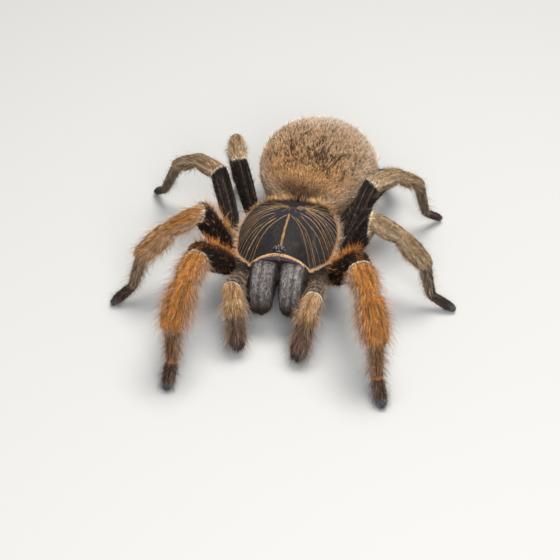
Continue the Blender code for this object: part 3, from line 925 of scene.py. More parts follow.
@dataclass(frozen=True)
class JawForm:
    """One chelicera's middle line with its half width, half depth and swing outwards."""

    side: float = 2.75
    depth: float = 0.07
    squareness: tuple[float, float] = (0.42, 0.68)
    rings: tuple[tuple[float, float, float, float, float], ...] = (
        (-9.6, 9.7, 2.45, 2.7, -0.06), (-10.4, 9.9, 2.52, 2.95, -0.06), (-11.6, 9.6, 2.52, 3.0, -0.04),
        (-13.0, 8.6, 2.46, 2.8, 0.05), (-13.75, 7.3, 2.34, 2.35, 0.12),
        (-13.9, 6.1, 2.1, 1.9, 0.18), (-13.8, 5.0, 1.65, 1.28, 0.26))

    def skin_points(self, plan: Plan, sign: int) -> Array:
        """Rows of points down one jaw, closed at both ends."""
        rings = smooth_path(np.array(self.rings), JAW_ROWS)
        middle = np.stack([sign * (self.side + rings[:, 4]), rings[:, 0], rings[:, 1]], axis=1)
        ways = unit(np.gradient(middle, axis=0))
        front = np.cross((1.0, 0.0, 0.0), ways)
        turn = np.linspace(0, math.tau, JAW_COLUMNS)
        rows = [np.repeat(middle[:1], JAW_COLUMNS, axis=0)]
        powers = np.linspace(*self.squareness, len(rings))
        for place, forward, ring, power in zip(middle, front, rings, powers):
            wide, deep = ring[2:4] - self.depth
            across, up = (np.sign(part) * np.abs(part) ** power for part in (np.cos(turn), np.sin(turn)))
            rows.append(place + np.outer(across, (1.0, 0.0, 0.0)) * wide + np.outer(up, forward) * deep)
        rows.append(np.repeat(middle[-1:] + ways[-1:] * JAW_TIP, JAW_COLUMNS, axis=0))
        return np.array(rows) + plan.origin

    def bones(self, plan: Plan) -> list[Bone]:
        """Stretches that the jaws' hairs lie along."""
        made = []
        for name, sign in SIDES:
            for number, (near, far) in enumerate(zip(JAW_SPOTS, JAW_SPOTS[1:])):
                start, end = (plan.at(sign * (self.side + spot[3]), *spot[:2]) for spot in (near, far))
                made.append(Bone(f"chelicera_{name}_{number}", start, end, near[2],
                                 ((0.0, 1.0), (1.0, 0.95)), JAW_STYLE, "jaws"))
        return made


JAW_STYLE = Style(ASH, (0.38, 0.345, 0.325), depth=0.28, length=0.5, rise=12.0, width=0.058,
                  density=112.0, under=CHARCOAL, dark=0.3)
ABDOMEN_STYLE = Style(OCHRE, FAWN, length=0.5, rise=34.0, width=0.078, density=72.0, dark=0.18,
                      fuzz=0.05, fuzz_length=1.25)
STERNUM_STYLE = Style(BROWN, GREY_BROWN, length=0.8, rise=12.0, density=14.0)
STERNUM_CENTRE = (0.0, 0.3, 7.2)
STERNUM_HALF = (6.0, 7.4, 2.0)
PLEURA_CENTRE = (0.0, 0.0, 9.6)
PLEURA_HALF = (7.6, 9.0, 1.2)
SPINNERET_SPREAD = 1.3
SPINNERET_DROP = 2.4
SPINNERET_LENGTH = 3.85
SPINNERET_RADIUS = 0.62
SPINNERET_PROFILE = ((0.0, 1.0), (0.35, 1.0), (0.7, 0.8), (1.0, 0.45))
# Along, up, radius and swing outwards of the spots that a jaw's hairs lie between.
JAW_SPOTS = ((-10.4, 9.8, 2.4, 0.0), (-12.4, 8.9, 2.5, 0.0), (-13.6, 7.2, 2.2, 0.12),
             (-13.85, 4.7, 1.8, 0.3))
JAW_ROWS = 25
JAW_COLUMNS = 41
JAW_TIP = 0.35  # how far the closing point lies past the last ring
EGG_ROWS = 61
EGG_SIDES = 96
TUBE_SIDES = 20
SKIN_VOXEL = 0.00034  # metres


class Skin:
    """The one seamless skin of legs, palps, jaws, underside and abdomen."""

    def __init__(self, plan: Plan) -> None:
        """Keeps the plan and lists every bone.

        Args:
            plan: the animal's plan.
        """
        self.plan = plan
        self.abdomen = AbdomenForm()
        self.jaws = JawForm()
        self.bones = [bone for limb in plan.limbs for bone in limb.bones()]
        self.rings = [ring for limb in plan.limbs for ring in limb.rings()]
        self.bones += self.jaws.bones(plan)
        self.bones += self.spinneret_bones()
        self.piece: Piece | None = None

    def spinneret_bones(self) -> list[Bone]:
        """The two fingers at the back of the abdomen."""
        form = self.abdomen
        side = np.array([form.way[1], -form.way[0], 0.0])
        style = replace(ABDOMEN_STYLE, density=30.0, fuzz=0.0)
        made = []
        for name, sign in SIDES:
            base = self.plan.at(*form.front) + form.way * (form.length - 0.6)
            base = base + side * sign * SPINNERET_SPREAD
            base[2] = form.height - SPINNERET_DROP
            way = unit(form.way + side * sign * 0.25 + np.array([0, 0, 0.12]))
            made.append(Bone(f"spinneret_{name}", base, base + way * SPINNERET_LENGTH, SPINNERET_RADIUS,
                             SPINNERET_PROFILE, style, "abdomen"))
        return made

    def build(self) -> None:
        """Makes the closed parts, melts them into one skin and smooths it."""
        plan = self.plan
        waist = np.linspace(plan.at(0, 7.0, 8.2), plan.at(0.5, 13.0, 9.4), 9)
        forms = {f"skin_{limb.name}": limb.skin_points(TUBE_SIDES) for limb in plan.limbs}
        forms["skin_abdomen"] = self.abdomen.skin_points(plan)
        for name, sign in SIDES:
            forms[f"skin_jaw_{name}"] = self.jaws.skin_points(plan, sign)
        forms["skin_sternum"] = ball_points(plan.at(*STERNUM_CENTRE), STERNUM_HALF, 25, 41)
        forms["skin_pleura"] = ball_points(plan.at(*PLEURA_CENTRE), PLEURA_HALF, 25, 41)
        forms["skin_waist"] = tube_points(waist, np.full(9, self.abdomen.waist_radius), TUBE_SIDES)
        for bone in self.spinneret_bones():
            path = np.linspace(bone.start, bone.end, 11)
            forms[f"skin_{bone.name}"] = tube_points(path, bone.radius_at(np.linspace(0, 1, 11)), 14)
        piece = join_pieces([sheet_piece(name, points) for name, points in forms.items()], "skin")
        apply_modifier(piece, "REMESH", mode="VOXEL", voxel_size=SKIN_VOXEL, use_smooth_shade=True)
        apply_modifier(piece, "SMOOTH", factor=0.5, iterations=4)
        bpy.ops.object.shade_smooth()
        self.piece = piece


class SkinMap:
    """Says which bone or form each place of the skin belongs to, and where on it."""

    ABDOMEN = -1
    STERNUM = -2

    def __init__(self, skin: Skin, points: Array) -> None:
        """Sorts places by the nearest bone.

        Args:
            skin: the skin.
            points: places on it, one a row.
        """
        self.points = points
        self.part = np.full(len(points), self.STERNUM)
        offset = (points - skin.plan.at(*STERNUM_CENTRE)) / np.array(STERNUM_HALF)
        flat = np.linalg.norm(offset[:, :2], axis=1)
        best = np.minimum(np.linalg.norm(offset, axis=1), np.where(offset[:, 2] > 0.2, 0.9, FAR_OFF) + 0.25)
        best = np.where(flat < 1.15, best, FAR_OFF)
        self.angle = np.degrees(np.arctan2(offset[:, 0], offset[:, 1]))
        self.share = np.clip(flat, 0, 1)
        self.take(self.ABDOMEN, skin.abdomen.place(skin.plan, points), best)
        for number, bone in enumerate(skin.bones):
            self.take(number, bone.place(points), best)
        self.ring = np.zeros(len(points))
        self.ring_colour = np.zeros((len(points), 3))
        names = [bone.name for bone in skin.bones]
        for ring in skin.rings:
            self.split(ring, names.index(ring.before), names.index(ring.after))

    def take(self, part: int, place: tuple[Array, Array, Array], best: Array) -> None:
        """Gives a part the places that it is nearest to.

        Args:
            part: the part's number.
            place: share, angle and distance of every place on it.
            best: each place's least distance so far, which is kept up to date.
        """
        share, angle, far = place
        won = far < best
        best[won] = far[won]
        self.part[won] = part
        self.share[won] = share[won]
        self.angle[won] = angle[won]

    def split(self, ring: JointRing, before: int, after: int) -> None:
        """Parts two bones at their joint's plane and marks the ring there.

        Args:
            ring: the joint's plane.
            before: number of the bone that ends there.
            after: number of the bone that starts there.
        """
        past = (self.points - ring.point) @ ring.normal
        back = (self.part == after) & (past < 0) & (self.share < 0.4)
        ahead = (self.part == before) & (past >= 0) & (self.share > 0.6)
        self.part[back], self.share[back] = before, 1.0
        self.part[ahead], self.share[ahead] = after, 0.0
        near = ((self.part == before) & (self.share > 0.6)) | ((self.part == after) & (self.share < 0.4))
        weight = hump(past, 0.0, RING_WIDTH) * ring.strength * ramp(135.0, 95.0, np.abs(self.angle))
        won = near & (weight > self.ring)
        self.ring[won] = weight[won]
        self.ring_colour[won] = ring.colour


# ---- markings ----

def limb_colour(bone: Bone, share: Array, angle: Array, points: Array) -> Array:
    """Colour of a limb's coat, in streaks along it.

    Args:
        bone: the segment.
        share: place along the segment.
        angle: degrees from its upper side.
        points: places in millimetres, for the mottling.

    Returns:
        One colour a row.
    """
    style = bone.style
    away = np.abs(angle)
    flat = np.stack([share * bone.length, angle * bone.radius / RADIAN, np.full_like(share, bone.start[0])],
                    axis=1)
    grain = value_noise(flat, (1.9, 0.42, 1.0), 3) * 0.55 + value_noise(flat, (0.9, 0.2, 1.0), 5) * 0.45
    colour = layered(style.base, len(share), (style.tips, ramp(0.5, 0.75, grain) * 0.75),
                     (np.array(style.base) * 0.3, ramp(0.5, 0.25, grain) * 0.8))
    if style.cap_strength:
        cap = ramp(style.cap_width * 1.35, style.cap_width * 0.65, away)
        cap = cap * between(style.cap_span, 0.12, share)
        colour = blend(colour, style.cap, cap * ramp(0.2, 0.5, grain + 0.15) * style.cap_strength)
    if style.edge_strength:
        colour = blend(colour, style.edge, hump(away, style.edge_at, style.edge_width) * style.edge_strength)
    if style.stripe_strength:
        wander = (value_noise(points, 2.0, 11) - 0.5) * style.stripe_width * 1.2
        band = hump(away + wander, style.stripe_at, style.stripe_width)
        band = band * between(style.stripe_span, 0.1, share)
        colour = blend(colour, style.stripe, band * style.stripe_strength)
    if style.bands:
        wave = ramp(-0.2, 0.6, np.sin(share * math.tau * 3.0 + 1.0))
        colour = blend(colour, UMBER, wave * style.bands)
    colour = blend(colour, style.under, ramp(95.0, 140.0, away) * 0.8)
    if style.end_strength:
        colour = blend(colour, style.end_tone, ramp(0.6, 0.84, share) * style.end_strength)
    return colour


def abdomen_colour(share: Array, angle: Array, points: Array) -> Array:
    """Colour of the abdomen: golden in front, cream behind, and dark umber where it narrows to the waist, as
    painted shade behind the carapace.

    Args:
        share: place from front to back.
        angle: degrees from the top.
        points: places in millimetres.

    Returns:
        One colour a row.
    """
    away = np.abs(angle)
    golden = ramp(0.42, 0.16, share) * ramp(98.0, 50.0, away)
    return layered((0.375, 0.245, 0.14), len(share),
                   ((0.73, 0.58, 0.46), ramp(0.45, 0.85, share) * 0.9),
                   ((0.55, 0.41, 0.29), hump(away, 80.0, 28.0) * 0.7),
                   ((0.345, 0.185, 0.072), golden * 0.85),
                   ((0.29, 0.22, 0.17), ramp(100.0, 140.0, away) * 0.7),
                   # painted shade: dark umber on the abdomen's front, in the gap where it narrows to the
                   # waist behind the carapace
                   (UMBER, ramp(0.12, 0.02, share) * ramp(100.0, 40.0, away) * 0.85),
                   (TAN, ramp(0.5, 0.8, value_noise(points, 2.4, 21)) * 0.25))


def abdomen_speckle(share: Array, angle: Array, points: Array) -> Array:
    """How dark the abdomen's speckles are, from 0 to 1."""
    away = np.abs(angle)
    region = ramp(85.0, 35.0, away) * ramp(0.10, 0.2, share) * ramp(0.8, 0.35, share)
    patch = value_noise(points, (0.2, 0.4, 0.32), 31)
    broad = value_noise(points, 1.7, 33)
    middle = hump(share, 0.28, 0.13) * ramp(60.0, 25.0, away)
    return ramp(0.56, 0.66, patch + (broad - 0.5) * 0.5 + middle * 0.2 - 0.02) * region


def sternum_colour(points: Array) -> Array:
    """Colour of the underside."""
    return layered(BROWN, len(points), (UMBER, ramp(0.4, 0.7, value_noise(points, 1.5, 41)) * 0.6))


def jaw_flank_shade(across: Array) -> Array:
    """Returns how far round to a jaw's side places are, from 0 to 1, which sets the painted shade on its
    flanks; the inner side starts later.
    """
    return ramp(1.3, 2.0, np.where(across < 0, -across - 0.32, across))


def jaw_colour(points: Array, middle: float) -> Array:
    """Salt-and-pepper grey of the jaws, with paler stripes down them, painted shade round their flanks and
    darker brown towards the bottom.

    Args:
        points: places in millimetres.
        middle: how far each jaw's middle is from the body's midline.

    Returns:
        One colour a row.
    """
    grain = value_noise(points, (0.12, 0.17, 0.22), 51)
    across = np.abs(points[:, 0]) - middle
    return layered(ASH, len(points), (CHARCOAL, ramp(0.5, 0.66, grain) * 0.8),
                   ((0.40, 0.365, 0.345), ramp(0.46, 0.28, grain) * 0.7),
                   ((0.36, 0.33, 0.31), (hump(across, -0.45, 0.16) + hump(across, 0.75, 0.16)) * 0.5),
                   ((0.03, 0.024, 0.022), hump(across, 0.2, 0.13) * 0.75),
                   # darker brown towards the bottom: partly the hairs' own brown, partly painted shade
                   ((0.052, 0.030, 0.019), ramp(8.8, 6.2, points[:, 2]) * 0.9),
                   # painted shade round each jaw's outer flank and in the gap between the two jaws
                   ((0.024, 0.016, 0.013), jaw_flank_shade(across) * 0.9))


class Markings:
    """Colours of the skin and coat for every place of the skin."""

    def __init__(self, skin: Skin) -> None:
        """Keeps the skin whose places are painted."""
        self.skin = skin

    def paint(self, where: SkinMap) -> Array:
        """Colours places.

        Args:
            where: the places, already sorted by part.

        Returns:
            One colour a row.
        """
        local = where.points - self.skin.plan.origin
        colours = sternum_colour(local)
        mask = where.part == SkinMap.ABDOMEN
        colours[mask] = abdomen_colour(where.share[mask], where.angle[mask], local[mask])
        dark = abdomen_speckle(where.share[mask], where.angle[mask], local[mask])
        colours[mask] = blend(colours[mask], UMBER, dark * 0.8)
        for number, bone in enumerate(self.skin.bones):
            mask = where.part == number
            if bone.slot_group == "jaws":
                colours[mask] = jaw_colour(local[mask], self.skin.jaws.side)
            elif bone.slot_group == "abdomen":
                colours[mask] = np.array(GREY_BROWN)
            else:
                colours[mask] = limb_colour(bone, where.share[mask], where.angle[mask], local[mask])
        return blend(colours, where.ring_colour, ramp(0.15, 0.5, where.ring) * 0.95)


# ---- the coat ----

# A tuft's corners round its root: (sideways, outwards) in widths.
RING = np.array(((-0.5, 0.0), (0.5, 0.0), (0.0, 0.7)))
CURVED_FACES = np.array(((0, 1, 2), (0, 4, 1), (0, 3, 4), (1, 5, 2), (1, 4, 5), (2, 3, 0), (2, 5, 3),
                         (3, 6, 4), (4, 6, 5), (5, 6, 3)))
STRAIGHT_FACES = np.array(((0, 1, 2), (0, 3, 1), (1, 3, 2), (2, 3, 0)))
BENT_RISE = 0.45  # rise of a bent hair's outer half, against its inner half
KNEE_WIDTH = 0.8  # and its width half way, against its root
COVER_HALF = (8.0, 9.3)  # half width and length of what the carapace covers
COVER_MIDDLE = 0.5  # how far back its middle lies
COVER_FLOOR = 8.6  # height above which it covers them
PIECE_TRIANGLES = 190000  # most that a piece of the abdomen's coat may have


def patch_corners(faces: Array) -> Array:
    """Lays a tuft's faces side by side in a patch of width one.

    Args:
        faces: the tuft's triangles.

    Returns:
        A place in the patch for each corner of each face.
    """
    columns = math.ceil(math.sqrt(len(faces)))
    cell = 1.0 / columns
    number = np.arange(len(faces))
    corner = np.stack([number % columns, number // columns], axis=1) * cell
    triangle = np.array(((0.1, 0.1), (0.9, 0.1), (0.5, 0.9))) * cell
    return (corner[:, None] + triangle[None]).reshape(-1, 2)


class Rows:
    """Arrays that are read and picked from together, one thing a row."""

    def __len__(self) -> int:
        """Returns how many rows there are."""
        return len(self.normals)

    def chosen(self, mask: Array) -> Rows:
        """Returns the rows of a mask."""
        return type(self)(*(getattr(self, name)[mask] for name in self.__dataclass_fields__))


@dataclass
class Roots(Rows):
    """Where hairs of the skin grow: the bone or form, place along and round it, ring and marking."""

    places: Array
    normals: Array
    part: Array
    share: Array
    angle: Array
    ring: Array
    colours: Array

    def chart(self) -> Array:
        """Returns each root's place on its bone's own unwrap, from 0 to 1."""
        return np.stack([(self.angle + 180) / 360, self.share], axis=1)


@dataclass
class Hairs(Rows):
    """Tufts to be made, one a row."""

    roots: Array
    normals: Array
    ways: Array
    length: Array
    width: Array
    rise: Array  # degrees
    root_colour: Array
    tip_colour: Array
    chart: Array  # place on the unwrap, 0 to 1
    curved: Array  # whether it bends half way, which takes ten faces, or is straight

    def shape(self, curved: bool) -> tuple[Array, Array]:
        """Works out every tuft's vertices.

        Args:
            curved: whether they bend half way.

        Returns:
            Places and colours, as tufts by vertices by three.
        """
        out = unit(self.normals)
        along = unit(self.ways - out * dot(self.ways, out)[:, None])
        side = np.cross(out, along)
        rise = np.radians(self.rise)[:, None]
        length = self.length[:, None]
        width = self.width[:, None]
        start_way = along * np.cos(rise) + out * np.sin(rise)
        end_rise = rise * (BENT_RISE if curved else 1.0)
        end_way = along * np.cos(end_rise) + out * np.sin(end_rise)
        upright = np.cross(start_way, side)
        upright = upright * np.where(dot(upright, out) < 0, -1.0, 1.0)[:, None]
        base = self.roots - out * ROOT_DEPTH
        knee = base + start_way * length * 0.5
        layers = [base + side * width * x + upright * width * y for x, y in RING]
        shades = [self.root_colour] * 3
        if curved:
            layers += [knee + (side * width * x + upright * width * y) * KNEE_WIDTH for x, y in RING]
            shades += [(self.root_colour + self.tip_colour) / 2] * 3
        layers.append(knee + end_way * length * 0.5)
        shades.append(self.tip_colour)
        places = np.stack(layers, axis=1)
        places[..., 2] = np.maximum(places[..., 2], FLOOR_CLEARANCE)
        return places, np.stack(shades, axis=1)


def stack_hairs(groups: list[Hairs]) -> Hairs:
    """Puts several sets of tufts into one."""
    names = Hairs.__dataclass_fields__
    return Hairs(*(np.concatenate([getattr(group, name) for group in groups]) for name in names))


def coat_piece(name: str, hairs: Hairs) -> Piece:
    """Makes one coat piece from its tufts.

    Args:
        name: name of the piece.
        hairs: the tufts.

    Returns:
        The new piece, riding on the body.
    """
    places, shades, corners, spots = [], [], [], []
    used = 0
    for curved, faces in ((False, STRAIGHT_FACES), (True, CURVED_FACES)):
        some = hairs.chosen(hairs.curved == curved)
        if not len(some):
            continue
        spot, shade = some.shape(curved)
        steps = np.arange(len(some))[:, None, None] * spot.shape[1]
        corners.append((used + steps + faces[None]).reshape(-1))
        patch = patch_corners(faces) * PATCH
        spots.append((some.chart[:, None, :] * (1 - PATCH) + patch[None]).reshape(-1, 2))
        places.append(spot.reshape(-1, 3))
        shades.append(shade.reshape(-1, 3))
        used += len(places[-1])
    corner = np.concatenate(corners).astype(np.int32)
    mesh = bpy.data.meshes.new(name)
    mesh.vertices.add(used)
    mesh.vertices.foreach_set("co", (np.concatenate(places) * MM).astype(np.float32).ravel())
    mesh.loops.add(len(corner))
    mesh.loops.foreach_set("vertex_index", corner)
    mesh.polygons.add(len(corner) // 3)
    mesh.polygons.foreach_set("loop_start", np.arange(0, len(corner), 3, dtype=np.int32))
    mesh.update(calc_edges=True)
    mesh.shade_smooth()
    chart = mesh.uv_layers.new(name=BAKE_MAP)
    chart.data.foreach_set("uv", np.concatenate(spots).astype(np.float32).ravel())
    piece = bpy.data.objects.new(name, mesh)
    bpy.context.scene.collection.objects.link(piece)
    write_colours(piece, np.concatenate(shades))
    mesh.materials.append(HAIR.material())
    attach(piece, BODY)
    LOG.info("%s: %d tufts, %d triangles", name, len(hairs), len(corner) // 3)
    return piece


class Surface:
    """A mesh that hairs grow on, as arrays."""

    def __init__(self, piece: Piece) -> None:
        """Reads a piece's triangles and normals."""
        mesh = piece.data
        mesh.calc_loop_triangles()
        self.corners = read_rows(mesh.loop_triangles, "vertices", np.int32)
        self.places = vertex_places(piece)
        self.normals = read_rows(mesh.vertex_normals, "vector").astype(float)
        spots = self.places[self.corners]
        cross = np.cross(spots[:, 1] - spots[:, 0], spots[:, 2] - spots[:, 0])
        self.areas = np.linalg.norm(cross, axis=1) / 2
        self.middles = spots.mean(axis=1)

    def scatter(self, density: Array, rng: Chance) -> tuple[Array, Array]:
        """Spreads roots evenly.

        Args:
            density: roots in a square millimetre, one number for each triangle.
            rng: the source of chance.

        Returns:
            The roots and the surface normals there.
        """
        order = np.lexsort((self.middles[:, 2] // 0.5, self.middles[:, 1] // 0.5))
        weight = np.cumsum((self.areas * density)[order])
        count = int(weight[-1])
        marks = (np.arange(count) + rng.random(count)) * weight[-1] / max(count, 1)
        chosen = order[np.minimum(np.searchsorted(weight, marks), len(order) - 1)]
        first, second = rng.random(count), rng.random(count)
        flip = first + second > 1
        first[flip], second[flip] = 1 - first[flip], 1 - second[flip]
        share = np.stack([1 - first - second, first, second], axis=1)[..., None]
        corners = self.corners[chosen]
        return (np.sum(self.places[corners] * share, axis=1),
                unit(np.sum(self.normals[corners] * share, axis=1)))


def jitter(rng: Chance, count: int, spread: float) -> Array:
    """Returns factors round one, none far from it."""
    return np.exp(np.clip(rng.normal(0, spread, count), -2.2 * spread, 2.2 * spread))


def swirl(ways: Array, normals: Array, points: Array, rng: Chance, spread: float) -> Array:
    """Turns the lie of hairs a little, in locks and one by one.

    Args:
        ways: the lie of the coat.
        normals: surface normals.
        points: roots.
        rng: the source of chance.
        spread: size of the turns in radians.

    Returns:
        The turned ways.
    """
    across = np.cross(normals, ways)
    lock = value_noise(points, 1.1, 61) - 0.5
    turn = rng.normal(0, spread, len(points)) + lock * spread * 2.2
    return ways + across * turn[:, None]


class CoatPart(Enum):
    """The coat pieces that cover the skin, each listed with a slot name that nothing reads; all take the one
    hair finish.
    """

    FEMORA_RIGHT = ("coat_femora_right", "black_coat")
    FEMORA_LEFT = ("coat_femora_left", "black_coat")
    LEG_1_RIGHT = ("coat_leg_1_right", "orange_coat")
    LEG_1_LEFT = ("coat_leg_1_left", "orange_coat")
    LEG_2_RIGHT = ("coat_leg_2_right", "khaki_coat")
    LEG_2_LEFT = ("coat_leg_2_left", "khaki_coat")
    LEG_3_RIGHT = ("coat_leg_3_right", "khaki_coat")
    LEG_3_LEFT = ("coat_leg_3_left", "khaki_coat")
    LEG_4_RIGHT = ("coat_leg_4_right", "khaki_coat")
    LEG_4_LEFT = ("coat_leg_4_left", "khaki_coat")
    PALPS = ("coat_palps", "orange_coat")
    FEET = ("coat_feet", "foot_coat")
    JAWS = ("coat_jaws", "jaw_coat")
    UNDERSIDE = ("coat_underside", "underside_coat")


def part_of(bone: Bone) -> CoatPart:
    """Returns the coat piece that a bone's hairs belong to."""
    if bone.slot_group == "jaws":
        return CoatPart.JAWS
    if bone.slot_group == "abdomen" or bone.name.endswith("coxa"):
        return CoatPart.UNDERSIDE
    limb, segment = bone.name.rsplit("_", 1)
    if segment == "femur":
        return CoatPart.FEMORA_RIGHT if "right" in limb else CoatPart.FEMORA_LEFT
    if limb.startswith("palp"):
        return CoatPart.PALPS
    if segment == "tarsus":
        return CoatPart.FEET
    return CoatPart[limb.upper()]


class Coat:
    """All hairs that grow on the skin."""

    def __init__(self, skin: Skin, markings: Markings) -> None:
        """Keeps the skin, its markings and its triangles.

        Args:
            skin: the finished skin.
            markings: its colours.
        """
        self.skin = skin
        self.markings = markings
        self.rng = np.random.default_rng(2024)
        self.surface = Surface(skin.piece)
        self.map = SkinMap(skin, self.surface.middles)

    def hidden(self, points: Array) -> Array:
        """Says which places lie under the carapace or within the body, where no hair grows."""
        local = points - self.skin.plan.origin
        beyond = np.hypot(local[:, 0] / COVER_HALF[0], (local[:, 1] - COVER_MIDDLE) / COVER_HALF[1])
        return (beyond < 1.0) & (local[:, 2] > COVER_FLOOR)

    def densities(self) -> Array:
        """Roots in a square millimetre, for each triangle."""
        density = np.full(len(self.map.part), STERNUM_STYLE.density)
        density[self.map.part == SkinMap.ABDOMEN] = ABDOMEN_STYLE.density
        for number, bone in enumerate(self.skin.bones):
            density[self.map.part == number] = bone.style.density
        density += ramp(0.2, 0.6, self.map.ring) * RING_DENSITY
        density[self.hidden(self.surface.middles)] = 0.0
        return density

    def grow(self) -> None:
        """Grows every coat piece."""
        places, normals = self.surface.scatter(self.densities(), self.rng)
        where = SkinMap(self.skin, places)
        roots = Roots(places, normals, where.part, where.share, where.angle, where.ring,
                      self.markings.paint(where))
        self.grow_abdomen(roots.chosen(roots.part == SkinMap.ABDOMEN))
        members: dict[CoatPart, list[int]] = {kind: [] for kind in CoatPart}
        members[CoatPart.UNDERSIDE].append(SkinMap.STERNUM)
        for number, bone in enumerate(self.skin.bones):
            members[part_of(bone)].append(number)
        for kind, parts in members.items():
            self.grow_part(kind, roots, [part for part in parts if (roots.part == part).any()])

    def grow_part(self, kind: CoatPart, roots: Roots, members: list[int]) -> None:
        """Grows one coat piece over the bones that belong to it.

        Args:
            kind: the piece.
            roots: every root.
            members: numbers of the bones.
        """
        name, slot = kind.value
        groups = []
        grid = math.ceil(math.sqrt(len(members)))
        for cell, member in enumerate(members):
            chosen = roots.chosen(roots.part == member)
            hairs = self.hairs_on(member, chosen)
            hairs.chart = (np.array([cell % grid, cell // grid]) + 0.03 + chosen.chart() * 0.94) / grid
            groups.append(hairs)
        coat_piece(name, stack_hairs(groups))

    def hairs_on(self, member: int, roots: Roots) -> Hairs:
        """Works out the hairs of one bone.

        Args:
            member: the bone's number, or the sternum's.
            roots: the roots on it.

        Returns:
            The hairs.
        """
        rng = self.rng
        places, colours, share = roots.places, roots.colours, roots.share
        count = len(places)
        ring = roots.ring > RING_EDGE
        bone = self.skin.bones[member] if member >= 0 else None
        style = bone.style if bone else STERNUM_STYLE
        way = bone.lie_at(share) if bone else np.tile((0.0, 1.0, 0.0), (count, 1))
        on_jaws = bone is not None and bone.slot_group == "jaws"
        length = style.length * jitter(rng, count, 0.22)
        rise = style.rise * jitter(rng, count, 0.35)
        width = style.width * jitter(rng, count, 0.25)
        plain = 0.25 * (1.0 - style.end_strength * ramp(0.6, 0.8, share))
        if on_jaws:
            across = np.abs(places[:, 0] - self.skin.plan.origin[0]) - self.skin.jaws.side
            # pale tips are kept off the jaws' flanks and lower parts, so the painted shade there stays dark
            plain = plain * (1.0 - jaw_flank_shade(across)) * ramp(6.0, 8.6, places[:, 2])
        tips = blend(colours * 1.2, style.tips, np.where(ring, 0.0, plain))
        dark = (rng.random(count) < style.dark) & ~ring
        tips[dark] = colours[dark] * 0.35
        long = np.zeros(count, bool)
        if style.fuzz:
            away = np.abs(roots.angle)
            flank = ramp(20.0, 70.0, away) * ramp(0.0, 0.08, share)
            odds = style.fuzz * (0.3 + 1.0 * flank) + style.crest * ramp(50.0, 15.0, away)
            long = (rng.random(count) < odds) & ~ring
            length = np.where(long, style.fuzz_length * jitter(rng, count, 0.28), length)
            rise = np.where(long, style.fuzz_rise * jitter(rng, count, 0.25), rise)
            width = np.where(long, FUZZ_WIDTH * jitter(rng, count, 0.2), width)
            tips = np.where(long[:, None], np.array(style.fuzz_tone), tips)
        length = np.where(ring, RING_LENGTH, length)
        rise = np.where(ring, RING_RISE, rise)
        if on_jaws:
            low = ramp(7.6, 5.6, places[:, 2])
            length = length * (1 + 1.0 * low)
            rise = rise * (1 + 0.9 * low)
        if bone and bone.name.endswith("tarsus"):
            length = length * (1 - 0.4 * ramp(0.8, 1.0, share))
        tone = jitter(rng, count, 0.36)[:, None]
        curved = long & (rng.random(count) < 0.4)
        return Hairs(places, roots.normals, swirl(way, roots.normals, places, rng, 0.09), length, width,
                     rise, colours * tone * 0.4, tips * tone, roots.chart(), curved)

    def grow_abdomen(self, roots: Roots) -> None:
        """Grows the short, dense coat of the abdomen in pieces from front to back."""
        rng = self.rng
        share, angle = roots.share, roots.angle
        local = roots.places - self.skin.plan.origin
        count = len(local)
        style = ABDOMEN_STYLE
        way = np.tile(self.skin.abdomen.way, (count, 1)) + np.array([0, 0, 0.15])
        speckle = abdomen_speckle(share, angle, local)
        dark = rng.random(count) < style.dark + speckle * 0.72
        colour = abdomen_colour(share, angle, local) * jitter(rng, count, 0.34)[:, None]
        root_colour = colour * 0.35
        tip_colour = colour * 1.3
        root_colour[dark] = np.array(UMBER) * 0.6
        tip_colour[dark] = blend(colour[dark] * 0.35, np.array(UMBER) * 0.8, speckle[dark])
        long = rng.random(count) < style.fuzz
        front = ramp(0.2, 0.04, share)
        length = np.where(long, style.fuzz_length, style.length * (1 + 0.8 * front))
        length = length * jitter(rng, count, 0.25)
        rise = np.where(long, style.fuzz_rise, style.rise) * jitter(rng, count, 0.3)
        width = np.where(long, LONG_WIDTH, style.width) * jitter(rng, count, 0.2)
        ways = swirl(way, roots.normals, roots.places, rng, 0.2)
        hairs = Hairs(roots.places, roots.normals, ways, length, width, rise, root_colour, tip_colour,
                      roots.chart(), long)
        extra = len(CURVED_FACES) - len(STRAIGHT_FACES)
        pieces = math.ceil((count * len(STRAIGHT_FACES) + long.sum() * extra) / PIECE_TRIANGLES)
        edges = np.quantile(share, np.linspace(0, 1, pieces + 1))
        for number in range(pieces):
            last = number == pieces - 1
            inside = (share >= edges[number]) & ((share < edges[number + 1]) | last)
            coat_piece(f"coat_abdomen_{number + 1}", hairs.chosen(inside))


# ---- carapace ----

RAYS = 25  # lines of gold on each side
LAST_SHORT_RAY = 12  # short ones stand between them up to here
RAY_STEPS = 60
WALL_TONE = (0.016, 0.012, 0.012)
RUST_TONE = (0.17, 0.105, 0.062)
# blue-grey hair tips that stand in for the velvet's sheen: painted sheen
SHEEN_SPECK_TONE = (0.085, 0.10, 0.13)
SLOPE_STEP = 0.05
SHELL_CHART = 26.0  # width of the shield's plan on its unwrap
VELVET_HAIRS = 34000
RIM_HAIRS = 2600
FRINGE_HAIRS = 1800
REAR_HAIRS = 3400
ARCH_HAIRS = 3000
LASHES = 1300


@dataclass(frozen=True)
class Tuft:
    """One kind of hair on the shield: its size, how it stands and its colours."""

    length: float
    width: float
    rise: float
    dark: Colour
    light: Colour
    curved: bool = True
    spread: float = 0.12  # how far the lie wanders, in radians


